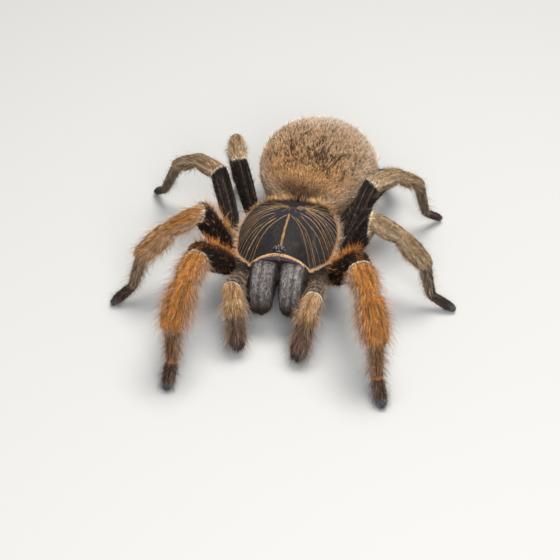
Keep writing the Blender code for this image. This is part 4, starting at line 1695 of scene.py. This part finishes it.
VELVET_TUFT = Tuft(0.36, 0.055, 9.0, BLACK, BLACK, False, 0.2)
MEDIAL_TUFT = Tuft(0.75, 0.085, 6.0, BLACK, (0.34, 0.19, 0.08), False, 0.05)
RAY_TUFT = Tuft(0.75, 0.047, 6.0, BLACK, (0.60, 0.36, 0.155), False, 0.05)
RIM_TUFT = Tuft(0.30, 0.07, 20.0, (0.24, 0.12, 0.05), (0.58, 0.32, 0.135), spread=0.25)
FRINGE_TUFT = Tuft(1.0, 0.06, 24.0, (0.15, 0.09, 0.06), (0.62, 0.43, 0.28), spread=0.25)
REAR_TUFT = Tuft(1.35, 0.06, 50.0, (0.08, 0.04, 0.018), (0.62, 0.36, 0.15), spread=0.45)
ARCH_TUFT = Tuft(0.46, 0.08, 22.0, (0.26, 0.14, 0.06), (0.68, 0.44, 0.25))


@dataclass
class Carapace:
    """The domed shield with its rim, its arch over the jaws and the lines of gold hair on it."""

    plan: Plan
    centre: tuple[float, float] = (0.0, 0.5)
    fullness: float = 3.2
    rim_height: float = 10.9
    rim_thickness: float = 0.45
    arch_rise: float = 4.25
    arch_half_width: float = 5.3
    floor: float = 10.05
    fovea: tuple[float, float] = (0.0, 6.2)
    edge: tuple[tuple[float, float], ...] = (
        (0.0, 10.7), (4.6, 10.1), (7.7, 6.6), (9.0, 1.5), (8.8, -3.2), (8.1, -6.6), (5.3, -9.2),
        (2.8, -10.2), (0.0, -10.5))
    ridge: tuple[tuple[float, float], ...] = (
        (-10.5, 15.2), (-7.0, 15.7), (-4.0, 15.7), (-1.0, 15.3), (2.0, 14.7), (5.0, 13.9),
        (8.0, 12.8), (10.7, 11.3))
    # Turn from straight ahead, and reach, of the short lines round the pit.
    pit_rays: tuple[tuple[float, float], ...] = (
        (-1.9, 2.6), (-1.0, 2.2), (-0.45, 3.4), (-0.1, 2.8), (0.3, 3.6), (0.8, 2.4), (1.8, 2.8))
    lines: list[Array] = field(default_factory=list)
    line_widths: list[float] = field(default_factory=list)

    def __post_init__(self) -> None:
        """Turns the edge into a radius for each compass direction and draws the lines."""
        half = smooth_path(np.array(self.edge), 200)
        whole = np.vstack([half, half[::-1] * (-1, 1)])
        offset = whole - np.array(self.centre)
        turn = np.arctan2(offset[:, 1], offset[:, 0])
        order = np.argsort(turn)
        self.turns = turn[order]
        self.reach = np.linalg.norm(offset, axis=1)[order]
        self.draw_lines()

    def share(self, x: Array, y: Array) -> Array:
        """Returns how far places are from the middle to the edge, from 0 to 1."""
        dx, dy = x - self.centre[0], y - self.centre[1]
        reach = np.interp(np.arctan2(dy, dx), self.turns, self.reach, period=math.tau)
        return np.hypot(dx, dy) / reach

    def edge_at(self, turn: Array) -> Array:
        """Returns the edge's plan at compass directions from the middle."""
        reach = np.interp(turn, self.turns, self.reach, period=math.tau)
        return np.stack([self.centre[0] + reach * np.cos(turn),
                         self.centre[1] + reach * np.sin(turn)], axis=-1)

    def rim_at(self, x: Array, y: Array) -> Array:
        """Height of the edge, which arches up over the jaws."""
        inside = np.clip(1 - (x / self.arch_half_width) ** 2, 0.0, 1.0)
        return self.rim_height + np.where(y < -7.0, self.arch_rise * inside ** 0.8, 0.0)

    def height(self, x: Array, y: Array) -> Array:
        """Height of the shield's upper face, with its pit and shallow grooves."""
        share = np.clip(self.share(x, y), 0.0, 1.0)
        dx, dy = x - self.centre[0], y - self.centre[1]
        edge = self.edge_at(np.arctan2(dy, dx))
        low = self.rim_at(edge[..., 0], edge[..., 1])
        along, high = zip(*self.ridge)
        crest = np.interp(y, along, high)
        plain = low + (crest - low) * (1 - share ** self.fullness)
        fx, fy = x - self.fovea[0], y - self.fovea[1]
        pit = 0.85 * np.exp(-(fx / 0.95) ** 2 - (fy / 0.5) ** 2)
        pit += 0.35 * np.exp(-(fx / 2.2) ** 2 - ((fy - 0.3) / 1.2) ** 2)
        turn = np.degrees(np.arctan2(np.abs(fx), -fy))
        far = np.hypot(fx, fy)
        grooves = np.zeros_like(x)
        for angle, depth in ((36.0, 0.34), (72.0, 0.26), (103.0, 0.24), (134.0, 0.22)):
            bent = turn - angle + far * 0.9
            grooves += depth * np.exp(-(bent * far / 57.3 / 0.55) ** 2)
        grooves *= ramp(0.6, 2.4, far) * ramp(1.0, 0.72, share)
        return plain - pit - grooves

    def draw_lines(self) -> None:
        """Lays out the lines of gold hair that fan from the pit to the edge."""
        rng = np.random.default_rng(77)
        start = np.array(self.fovea)
        hub = np.array((0.0, self.fovea[1] - 4.5))
        medial = np.array([hub, [0.05, -1.0], [0.0, -4.5], [0.0, -8.0]])
        self.lines.append(smooth_path(medial, 40))
        self.line_widths.append(0.30)
        middle = np.array(self.centre)
        for _, side in SIDES:
            for number in range(RAYS):
                short = number % 2
                if short and number > LAST_SHORT_RAY:
                    continue
                part = (number + rng.uniform(-0.3, 0.3) * (number > 0)) / (RAYS - 1)
                turn = math.radians(-60.5 + 124 * abs(part) ** 1.1)
                edge = middle + (self.edge_at(np.array([turn]))[0] - middle) * rng.uniform(0.96, 0.985)
                near = start + (hub - start) * float(ramp(0.42, 0.0, np.array(part)))
                far = np.linalg.norm(edge - near)
                way = (edge - near) / far
                across = np.array([-way[1], way[0]])
                bend = 0.06 - 0.03 * part + 0.04 * math.sin(math.pi * np.clip(part, 0, 1))
                control = near + (edge - near) * 0.5 + across * far * bend
                t = np.linspace(0, 1, RAY_STEPS)[:, None]
                curve = (1 - t) ** 2 * near + 2 * t * (1 - t) * control + t ** 2 * edge
                wave = np.sin(t * rng.uniform(7, 12) + rng.uniform(0, 6)) * 0.05 * ramp(0.0, 0.3, t)
                curve = curve + wave * across
                begin = 0.03 if number == 0 else rng.uniform(*((0.14, 0.3), (0.55, 0.72))[short])
                self.lines.append(curve[int(begin * RAY_STEPS):] * (side, 1))
                full = 0.6 if short else rng.uniform(0.85, 1.1)
                self.line_widths.append(0.068 * full * (1.0 + 0.5 * max(part - 0.35, 0.0)))
        for turn, far in self.pit_rays:
            way = np.array((math.sin(turn), -math.cos(turn)))
            self.lines.append(start + np.linspace(0.7, far, 20)[:, None] * way)
            self.line_widths.append(0.055)

    def line_strength(self, x: Array, y: Array) -> Array:
        """How strongly places are marked by the lines of gold, from 0 to 1."""
        found = np.zeros(x.size)
        places = np.stack([x.ravel(), y.ravel()], axis=1)
        for line, width in zip(self.lines, self.line_widths):
            steps = line[::2]
            gap = np.full(x.size, 9.0)
            for first, second in zip(steps, steps[1:]):
                span = second - first
                part = np.clip((places - first) @ span / max(span @ span, 1e-9), 0, 1)
                away = np.linalg.norm(places - first - part[:, None] * span, axis=1)
                gap = np.minimum(gap, away)
            found = np.maximum(found, np.exp(-(gap / (width * 0.55)) ** 2))
        return found.reshape(x.shape)

    def build(self) -> None:
        """Makes the shield as a closed form with a rolled rim."""
        edge = self.edge_at(np.linspace(0, math.tau, 361))
        middle = np.array(self.centre)
        rim = self.rim_at(*edge.T)
        rings = []
        for share in np.concatenate([[0.0], np.linspace(0.02, 1.0, 58)]):
            rings.append((share, self.height(*(middle + (edge - middle) * share).T)))
        for share, drop in ((1.004, 0.08), (1.006, 0.22), (0.998, 0.38), (0.975, self.rim_thickness)):
            rings.append((share, rim - drop))
        for share, deep in ((0.94, 0.75), (0.90, 1.0), (0.5, 1.0), (0.0, 1.0)):
            rings.append((share, (rim - self.rim_thickness) * (1 - deep) + self.floor * deep))
        rows = [np.column_stack([middle + (edge - middle) * share, height]) for share, height in rings]
        piece = sheet_piece("carapace_shell", np.array(rows) + self.plan.origin)
        finish(piece, self.colours(vertex_places(piece) - self.plan.origin), VELVET)
        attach(piece, BODY)
        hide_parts("carapace")

    def colours(self, local: Array) -> Array:
        """Colours of the shield.

        Args:
            local: places in the body's frame.

        Returns:
            One colour a row.
        """
        x, y, z = local.T
        share = self.share(x, y)
        edge = self.rim_at(x, y)
        rusty = value_noise(local, (0.25, 0.6, 0.5), 71)
        upper = ramp(0.0, 0.4, z - edge + 0.6)
        rim = ramp(0.984, 0.998, share) * ramp(self.floor + 0.1, self.floor + 0.4, z)
        colour = layered((0.008, 0.007, 0.007), len(local),
                         ((0.035, 0.022, 0.014), ramp(0.5, 0.85, rusty) * 0.4),
                         # painted sheen: a blue-black tint on the shell ahead of the pit
                         ((0.010, 0.012, 0.018), hump(y, self.fovea[1] - 3.0, 3.5) * 0.6),
                         ((0.16, 0.09, 0.05), self.line_strength(x, y) * 0.3 * upper),
                         (BLACK, hump(np.hypot(x, (y - self.fovea[1]) * 1.6), 0.0, 1.0) * 0.95),
                         ((0.30, 0.17, 0.085), rim * 0.8))
        colour[(share < 0.985) & (z < edge - self.rim_thickness + 0.03)] = WALL_TONE
        return colour


def stroke_hairs(path: Array, normals: Array, ways: Array, count: int, rng: Chance,
                 spread: float) -> tuple[Array, Array, Array]:
    """Spreads roots along a path.

    Args:
        path: the path, one point a row.
        normals: surface normal at each point.
        ways: lie of the hairs at each point.
        count: how many roots.
        rng: the source of chance.
        spread: half width of the stroke in millimetres.

    Returns:
        Roots, normals and ways.
    """
    step = np.linalg.norm(np.diff(path, axis=0), axis=1)
    along = np.concatenate([[0], np.cumsum(step)])
    spots = (np.arange(count) + rng.random(count)) / count * along[-1]
    roots, normal, way = (np.stack([np.interp(spots, along, column) for column in table.T], axis=1)
                          for table in (path, normals, ways))
    normal, way = unit(normal), unit(way)
    across = np.cross(normal, way)
    return roots + across * (rng.uniform(-1, 1, count) * spread)[:, None], normal, way


class ShellCoat:
    """Hairs of the carapace: its velvet, gold lines, fringe, arch and the tuft behind."""

    def __init__(self, shell: Carapace) -> None:
        """Keeps the shield that the hairs grow on."""
        self.shell = shell
        self.rng = np.random.default_rng(501)

    def normal(self, x: Array, y: Array) -> Array:
        """Upward normal of the shield at places in the body's frame."""
        height, step = self.shell.height, SLOPE_STEP
        slope_x = (height(x + step, y) - height(x - step, y)) / (2 * step)
        slope_y = (height(x, y + step) - height(x, y - step)) / (2 * step)
        return unit(np.stack([-slope_x, -slope_y, np.ones_like(x)], axis=-1))

    def make(self, name: str, groups: list[Hairs]) -> None:
        """Makes a coat piece of the shield, unwrapped over its plan."""
        hairs = stack_hairs(groups)
        hairs.roots = hairs.roots + self.shell.plan.origin
        local = hairs.roots - self.shell.plan.origin
        hairs.chart = np.clip(0.5 + local[:, :2] / SHELL_CHART, 0, 1)
        coat_piece(name, hairs)

    def hairs(self, roots: Array, normals: Array, ways: Array, tuft: Tuft) -> Hairs:
        """Makes hairs of one kind with small differences.

        Args:
            roots: roots in the body's frame.
            normals: surface normals.
            ways: lie of the hairs.
            tuft: their size, lie and colours.

        Returns:
            The hairs.
        """
        rng = self.rng
        count = len(roots)
        tone = jitter(rng, count, 0.22)[:, None]
        return Hairs(roots, normals, swirl(ways, normals, roots, rng, tuft.spread),
                     tuft.length * jitter(rng, count, 0.25), tuft.width * jitter(rng, count, 0.22),
                     tuft.rise * jitter(rng, count, 0.3), np.array(tuft.dark) * tone,
                     np.array(tuft.light) * tone, np.zeros((count, 2)), np.full(count, tuft.curved))

    def grow(self) -> None:
        """Grows every coat piece of the shield."""
        self.grow_velvet()
        self.grow_lines()
        self.grow_fringe()

    def grow_velvet(self) -> None:
        """Short dark hairs that lie outwards from the pit, some with rusty tips and some with blue-grey tips
        of painted sheen.
        """
        rng = self.rng
        shell = self.shell
        spots = rng.uniform((-9.2, -10.7), (9.2, 10.9), (VELVET_HAIRS, 2))
        spots = spots[shell.share(spots[:, 0], spots[:, 1]) < 0.994]
        x, y = spots.T
        roots = np.column_stack([spots, shell.height(x, y)])
        ways = np.column_stack([x - shell.fovea[0], y - shell.fovea[1], np.zeros_like(x)])
        hairs = self.hairs(roots, self.normal(x, y), unit(ways) + np.array([0.0, -0.25, 0.0]), VELVET_TUFT)
        shades = shell.colours(roots) * jitter(rng, len(x), 0.25)[:, None]
        hairs.root_colour = shades * 0.7
        hairs.tip_colour = shades * 1.25
        cell = value_noise(np.column_stack([spots, np.zeros_like(x)]), (0.24, 0.4, 0.3), 79)
        rust = ramp(0.54, 0.68, cell) * ramp(5.0, -1.0, y)
        # painted sheen: blue-grey hair tips ahead of the pit stand in for the velvet's bluish sheen; the
        # rust tips are the hairs' own colour
        painted_sheen = ramp(0.45, 0.3, cell) * hump(y, shell.fovea[1] - 3.0, 5.0)
        for share, tone in ((rust, RUST_TONE), (painted_sheen, SHEEN_SPECK_TONE)):
            hairs.tip_colour[rng.random(len(x)) < 0.7 * share] = tone
        self.make("coat_carapace_velvet", [hairs])

    def grow_lines(self) -> None:
        """Gold hairs laid end over end along each line."""
        groups = []
        shell = self.shell
        for number, (line, width) in enumerate(zip(shell.lines, shell.line_widths)):
            x, y = line.T
            path = np.column_stack([line, shell.height(x, y) + 0.02])
            length = np.sum(np.linalg.norm(np.diff(path, axis=0), axis=1))
            tuft = RAY_TUFT if number else MEDIAL_TUFT
            count = int(length * (210 * width + 4 if number else 50))
            places = stroke_hairs(path, self.normal(x, y), unit(np.gradient(path, axis=0)), count, self.rng,
                                  width * 0.55)
            fade = self.rng.uniform(0.6, 1.1) * min(1.0, width / 0.08) if number else 1.0
            light = np.array(tuft.light) * fade
            groups.append(self.hairs(*places, replace(tuft, light=light, dark=light * 0.6)))
        self.make("coat_carapace_lines", groups)

    def grow_fringe(self) -> None:
        """Tan hairs that stand out all round the rim, and the thick gold arch in front."""
        shell = self.shell
        rng = self.rng
        edge = shell.edge_at(np.linspace(0, math.tau, 721))
        path = np.column_stack([edge, shell.rim_at(*edge.T) - 0.16])
        outward = unit(np.column_stack([edge - np.array(shell.centre), np.zeros(len(edge))]))
        tangent = unit(np.gradient(path, axis=0))
        outward = unit(np.cross(tangent, np.cross(outward, tangent)))
        belts = []
        for count, tuft in ((RIM_HAIRS, RIM_TUFT), (FRINGE_HAIRS, FRINGE_TUFT)):
            roots, normal, way = stroke_hairs(path, upwards(path), outward, count, rng, 0.05)
            roots[:, 2] += rng.uniform(-0.12, 0.08, count)
            lock = np.ones(count) if tuft is RIM_TUFT else value_noise(roots, 0.8, 77)
            keep = (roots[:, 1] > -7.5) | (np.abs(roots[:, 0]) > shell.arch_half_width)
            keep &= rng.random(count) < 0.25 + ramp(0.35, 0.6, lock)
            along = rng.normal(0, 0.6, count)[:, None] * np.cross(normal, way)
            hairs = self.hairs(roots[keep], normal[keep], (way + along)[keep], tuft)
            back = ramp(7.0, 9.5, hairs.roots[:, 1])
            hairs.rise = hairs.rise * (1 + back) + rng.uniform(0, 30, len(back)) * (1 - back)
            belts.append(hairs)
        self.make("coat_carapace_fringe", belts + [self.rear_tuft(), self.arch_hairs(path, tangent)])

    def rear_tuft(self) -> Hairs:
        """Upright gold hairs in a belt just inside the rear rim."""
        rng = self.rng
        shell = self.shell
        turn = rng.uniform(math.radians(30), math.radians(150), REAR_HAIRS)
        share = rng.uniform(0.955, 1.0, REAR_HAIRS)
        middle = np.array(shell.centre)
        flat = middle + (shell.edge_at(turn) - middle) * share[:, None]
        lock = value_noise(np.column_stack([flat, np.zeros(REAR_HAIRS)]), 0.7, 75)
        odds = ramp(5.5, 9.0, flat[:, 1]) * (0.12 + ramp(0.4, 0.65, lock))
        x, y = flat[rng.random(REAR_HAIRS) < odds].T
        roots = np.column_stack([x, y, shell.height(x, y)])
        ways = np.column_stack([x, y - middle[1], np.zeros_like(x)])
        hairs = self.hairs(roots, self.normal(x, y), unit(ways), REAR_TUFT)
        hairs.length = hairs.length * (0.5 + 1.0 * value_noise(roots, 0.6, 76))
        hairs.rise = hairs.rise * rng.uniform(0.45, 1.35, len(x))
        bright = hump(np.abs(x - 0.4), 3.2, 1.6)
        hairs.tip_colour = hairs.tip_colour * (0.75 + 0.5 * bright)[:, None]
        dark = rng.random(len(x)) < 0.25 + 0.6 * hump(x, 0.5, 1.2) - 0.2 * bright
        hairs.tip_colour[dark] = np.array(UMBER)
        hairs.root_colour[dark] = np.array(BLACK)
        return hairs

    def arch_hairs(self, path: Array, tangent: Array) -> Hairs:
        """The thick gold band over the jaws.

        Args:
            path: the whole rim.
            tangent: its direction at each point.

        Returns:
            The hairs of the band.
        """
        rng = self.rng
        chosen = (path[:, 1] < -7.0) & (np.abs(path[:, 0]) < self.shell.arch_half_width + 0.3)
        line, along = path[chosen], tangent[chosen]
        forward = unit(np.cross(along, np.cross(np.tile((0.0, -1.0, -0.35), (len(line), 1)), along)))
        roots, normal, way = stroke_hairs(line, upwards(line), forward, ARCH_HAIRS, rng, 0.05)
        around = rng.uniform(-1.0, 1.0, ARCH_HAIRS)
        roots = roots + normal * (around * 0.24)[:, None]
        way = unit(way + normal * (around * 0.9)[:, None])
        sweep = np.sign(roots[:, 0])[:, None] * np.array([0.5, 0.0, -0.2])
        hairs = self.hairs(roots, unit(normal + way * 0.01), unit(way + sweep), ARCH_TUFT)
        hairs.tip_colour[rng.random(ARCH_HAIRS) < 0.22] = np.array(BROWN)
        return hairs


# ---- eyes, membrane and fangs ----

@dataclass
class EyeMound:
    """The low mound behind the arch with its eight eyes."""

    plan: Plan
    centre: tuple[float, float, float] = (-0.15, -9.3, 15.27)
    half: tuple[float, float, float] = (0.98, 0.66, 0.54)
    # Sideways, along, up and radius of each eye of one side.
    eyes: tuple[tuple[float, float, float, float], ...] = (
        (0.50, -0.26, 0.36, 0.42), (0.84, -0.26, 0.05, 0.21), (0.76, 0.24, 0.15, 0.19),
        (0.36, 0.34, 0.36, 0.15))

    def build(self) -> None:
        """Makes the mound and its eyes."""
        centre = self.plan.at(*self.centre)
        mound = sheet_piece("eye_mound_skin", ball_points(centre, self.half, 33, 49))
        places = vertex_places(mound)
        grain = ramp(0.62, 0.9, value_noise(places, 0.2, 81))
        finish(mound, layered((0.022, 0.020, 0.022), len(places), ((0.20, 0.16, 0.13), grain * 0.5)), VELVET)
        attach(mound, BODY)
        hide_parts("eye_mound")
        balls = [sheet_piece("eye", ball_points(place, (radius,) * 3, 25, 33))
                 for place, radius in self.eye_places()]
        eyes = join_pieces(balls, "eyes")
        finish(eyes, layered((0.010, 0.011, 0.016), len(eyes.data.vertices)), EYE_GLASS)
        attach(eyes, BODY)
        self.grow_lashes(centre)

    def grow_lashes(self, centre: Array) -> None:
        """Short pale hairs round the mound and between the eyes."""
        rng = np.random.default_rng(91)
        turn = rng.uniform(0, math.tau, LASHES)
        climb = rng.uniform(0.0, 1.0, LASHES) ** 2
        ball = np.stack([np.cos(turn) * np.cos(climb * 1.3), np.sin(turn) * np.cos(climb * 1.3),
                         np.sin(climb * 1.3)], axis=1)
        roots = centre + ball * np.array(self.half)
        clear = np.ones(LASHES, bool)
        for place, radius in self.eye_places():
            clear &= np.linalg.norm(roots - place, axis=1) > radius * 1.04 + 0.02
        roots, ball = roots[clear], ball[clear]
        count = len(roots)
        normals = unit(ball / np.array(self.half))
        ways = unit(ball * np.array([1.0, 1.0, 0.2]) + np.array([0.0, -0.4, 0.0]))
        tone = jitter(rng, count, 0.25)[:, None]
        pale = rng.random(count) < 0.55
        tips = np.where(pale[:, None], np.array((0.50, 0.40, 0.32)), np.array((0.07, 0.065, 0.07))) * tone
        chart = np.stack([(turn[clear] / math.tau), climb[clear]], axis=1) * 0.98
        hairs = Hairs(roots, normals, ways, 0.26 * jitter(rng, count, 0.3), np.full(count, 0.042),
                      32 * jitter(rng, count, 0.4), tips * 0.5, tips, chart, np.ones(count, bool))
        coat_piece("coat_eye_mound", hairs)

    def eye_places(self) -> list[tuple[Array, float]]:
        """Returns the middle and radius of all eight eyes."""
        return [(self.plan.at(*self.centre) + np.array([sign * across, along, up]), radius)
                for _, sign in SIDES for across, along, up, radius in self.eyes]


@dataclass
class Face:
    """The soft band between the arch and the jaws."""

    shell: Carapace
    columns: int = 97
    # Place from the arch down to the jaws, and how far forward, of each row.
    bulges: tuple[tuple[float, float], ...] = (
        (0.0, -1.2), (0.0, -0.05), (0.12, 0.12), (0.3, 0.24), (0.5, 0.28), (0.7, 0.22), (0.86, 0.08),
        (1.0, -0.12), (1.0, -1.4))

    def build(self) -> None:
        """Makes the band as a bulging strip that follows the arch."""
        plan = self.shell.plan
        across = np.linspace(-5.0, 5.0, self.columns)
        top = self.shell.rim_at(across, np.full(self.columns, -9.5)) - 0.38
        low = np.minimum(top - 0.25, 10.3 + 2.5 * np.clip(1 - (across / 5.2) ** 2, 0, 1) ** 0.6)
        front = -10.15 + 0.055 * across ** 2
        rows = []
        for share, bulge in self.bulges:
            groove = 0.16 * hump(across, 0.0, 0.22) * (1.0 if 0.05 < share < 0.98 else 0.0)
            rows.append(np.column_stack([across, front - bulge + groove, top + (low - top) * share]))
        piece = sheet_piece("face_membrane", np.array(rows) + plan.origin)
        local = vertex_places(piece) - plan.origin
        streak = value_noise(local, (0.5, 0.3, 0.18), 95)
        top_here, low_here = (np.interp(local[:, 0], across, height) for height in (top, low))
        share = np.clip((top_here - local[:, 2]) / np.maximum(top_here - low_here, 0.1), 0, 1)
        finish(piece, layered((0.040, 0.031, 0.038), len(local),
                              ((0.085, 0.068, 0.082), ramp(0.5, 0.8, streak) * 0.6),
                              (BLACK, ramp(0.58, 0.74, share) * 0.97),
                              (UMBER, ramp(0.16, 0.02, share) * 0.8),
                              ((0.16, 0.085, 0.05), hump(local[:, 0], 0.0, 0.12) * 0.6)), MEMBRANE)
        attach(piece, BODY)


@dataclass
class Fangs:
    """Two fangs folded back under the jaws."""

    plan: Plan
    side: float = 3.0
    line: tuple[tuple[float, float, float], ...] = (
        (-13.75, 5.4, 0.58), (-13.8, 4.7, 0.60), (-13.65, 3.7, 0.56), (-12.9, 2.7, 0.46),
        (-11.7, 2.3, 0.34), (-10.4, 2.7, 0.10))

    def build(self) -> None:
        """Makes both fangs, each in the place of its node."""
        curve = smooth_path(np.array(self.line), 34)
        for name, sign in SIDES:
            path = np.column_stack([sign * (self.side - np.linspace(0, 0.4, 34)), curve[:, 0], curve[:, 1]])
            points = tube_points(path + self.plan.origin, curve[:, 2], TUBE_SIDES)
            piece = sheet_piece(f"fang_horn_{name}", points)
            along = vertex_places(piece)[:, 1] - self.plan.origin[1]
            red = ramp(-13.2, -10.6, along) * 0.8
            finish(piece, layered((0.018, 0.010, 0.008), len(along), ((0.10, 0.022, 0.010), red)), HORN)
            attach(piece, BODY)
            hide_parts(f"fang_{name}")


# ---- studio ----

@dataclass
class Studio:
    """A pale floor, soft lights and the camera."""

    azimuth: float = 9.0
    elevation: float = 41.0
    distance: float = 0.260
    lens: float = 87.75
    aim: tuple[float, float, float] = (-1.461, -0.222, 0.0)

    def build(self, plan: Plan) -> None:
        """Makes the floor, the lights and the camera."""
        bpy.ops.object.select_all(action="DESELECT")
        bpy.ops.mesh.primitive_plane_add(size=3.0)
        floor = bpy.context.active_object
        floor.name = "floor"
        material = bpy.data.materials.new("pale_floor")
        material.use_nodes = True
        set_inputs(material.node_tree.nodes["Principled BSDF"],
                   {"Base Color": (0.30, 0.297, 0.288, 1.0), "Roughness": 0.9})
        floor.data.materials.append(material)
        floor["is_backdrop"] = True
        self.light("key", (0.05, 0.07, 0.42), 0.24, 3.4, (1.0, 0.97, 0.93))
        self.light("fill", (0.10, -0.36, 0.30), 0.30, 3.6, (0.97, 0.98, 1.0))
        scene = bpy.context.scene
        scene.world = bpy.data.worlds.new("soft_sky")
        scene.world.use_nodes = True
        sky = scene.world.node_tree.nodes["Background"]
        set_inputs(sky, {"Color": (0.90, 0.94, 1.0, 1.0), "Strength": 0.45})
        scene.view_settings.view_transform = "Standard"
        turn, climb = math.radians(self.azimuth), math.radians(self.elevation)
        back = Vector((math.sin(turn) * math.cos(climb), -math.cos(turn) * math.cos(climb), math.sin(climb)))
        lens = bpy.data.cameras.new("camera")
        lens.lens = self.lens
        lens.sensor_width = 36.0
        lens.clip_start = 0.001
        place = Vector(plan.at(*self.aim)) * MM + back * self.distance
        scene.camera = self.hang("camera", lens, place, back)

    def hang(self, name: str, data: bpy.types.ID, place: Vector, back: Vector) -> Piece:
        """Hangs a light or camera with its back to a direction.

        Args:
            name: name of the new object.
            data: the light or camera.
            place: where it hangs, in metres.
            back: the direction that it faces away from.

        Returns:
            The new object.
        """
        holder = bpy.data.objects.new(name, data)
        holder.location = place
        holder.rotation_euler = back.to_track_quat("Z", "Y").to_euler()
        bpy.context.scene.collection.objects.link(holder)
        return holder

    def light(self, name: str, place: tuple, size: float, power: float, tint: Colour) -> None:
        """Adds a square soft light that faces the animal.

        Args:
            name: the light's name.
            place: where it hangs, in metres.
            size: width in metres.
            power: power in watts.
            tint: its colour.
        """
        lamp = bpy.data.lights.new(name, "AREA")
        lamp.size = size
        lamp.energy = power
        lamp.color = tint
        self.hang(name, lamp, Vector(place), Vector(place))


# ---- assembly ----

FLESH_NODES = ("sternum_and_coxae", "abdomen", "spinneret_right", "spinneret_left",
               "chelicera_right", "chelicera_left")


def dress_skin(skin: Skin, markings: Markings) -> None:
    """Paints the skin, darkened as painted shade beneath the hair, and puts it in the place of every node of
    flesh.

    Args:
        skin: the skin, already built.
        markings: its colours.
    """
    piece = skin.piece
    colours = markings.paint(SkinMap(skin, vertex_places(piece)))
    # painted shade: the skin takes the coat's markings at 0.45 of their brightness, as the shade beneath the
    # hair
    write_colours(piece, colours * 0.45)
    piece.data.materials.clear()
    piece.data.materials.append(SKIN.material())
    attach(piece, BODY)
    limb_nodes = [f"{limb.name}_{segment}" for limb in skin.plan.limbs for segment in limb.segments]
    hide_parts(*FLESH_NODES, *limb_nodes)
    LOG.info("skin: %d vertices", len(piece.data.vertices))


def main(frame: dict, packed_box: tuple) -> None:
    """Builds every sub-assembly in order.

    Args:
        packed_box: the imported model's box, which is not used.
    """
    plan = Plan(frame)
    Studio().build(plan)
    skin = Skin(plan)
    skin.build()
    markings = Markings(skin)
    dress_skin(skin, markings)
    Coat(skin, markings).grow()
    shell = Carapace(plan)
    shell.build()
    ShellCoat(shell).grow()
    EyeMound(plan).build()
    Face(shell).build()
    Fangs(plan).build()


if __name__ == "__main__":
    logging.basicConfig(level=logging.INFO, format="%(name)s: %(message)s")
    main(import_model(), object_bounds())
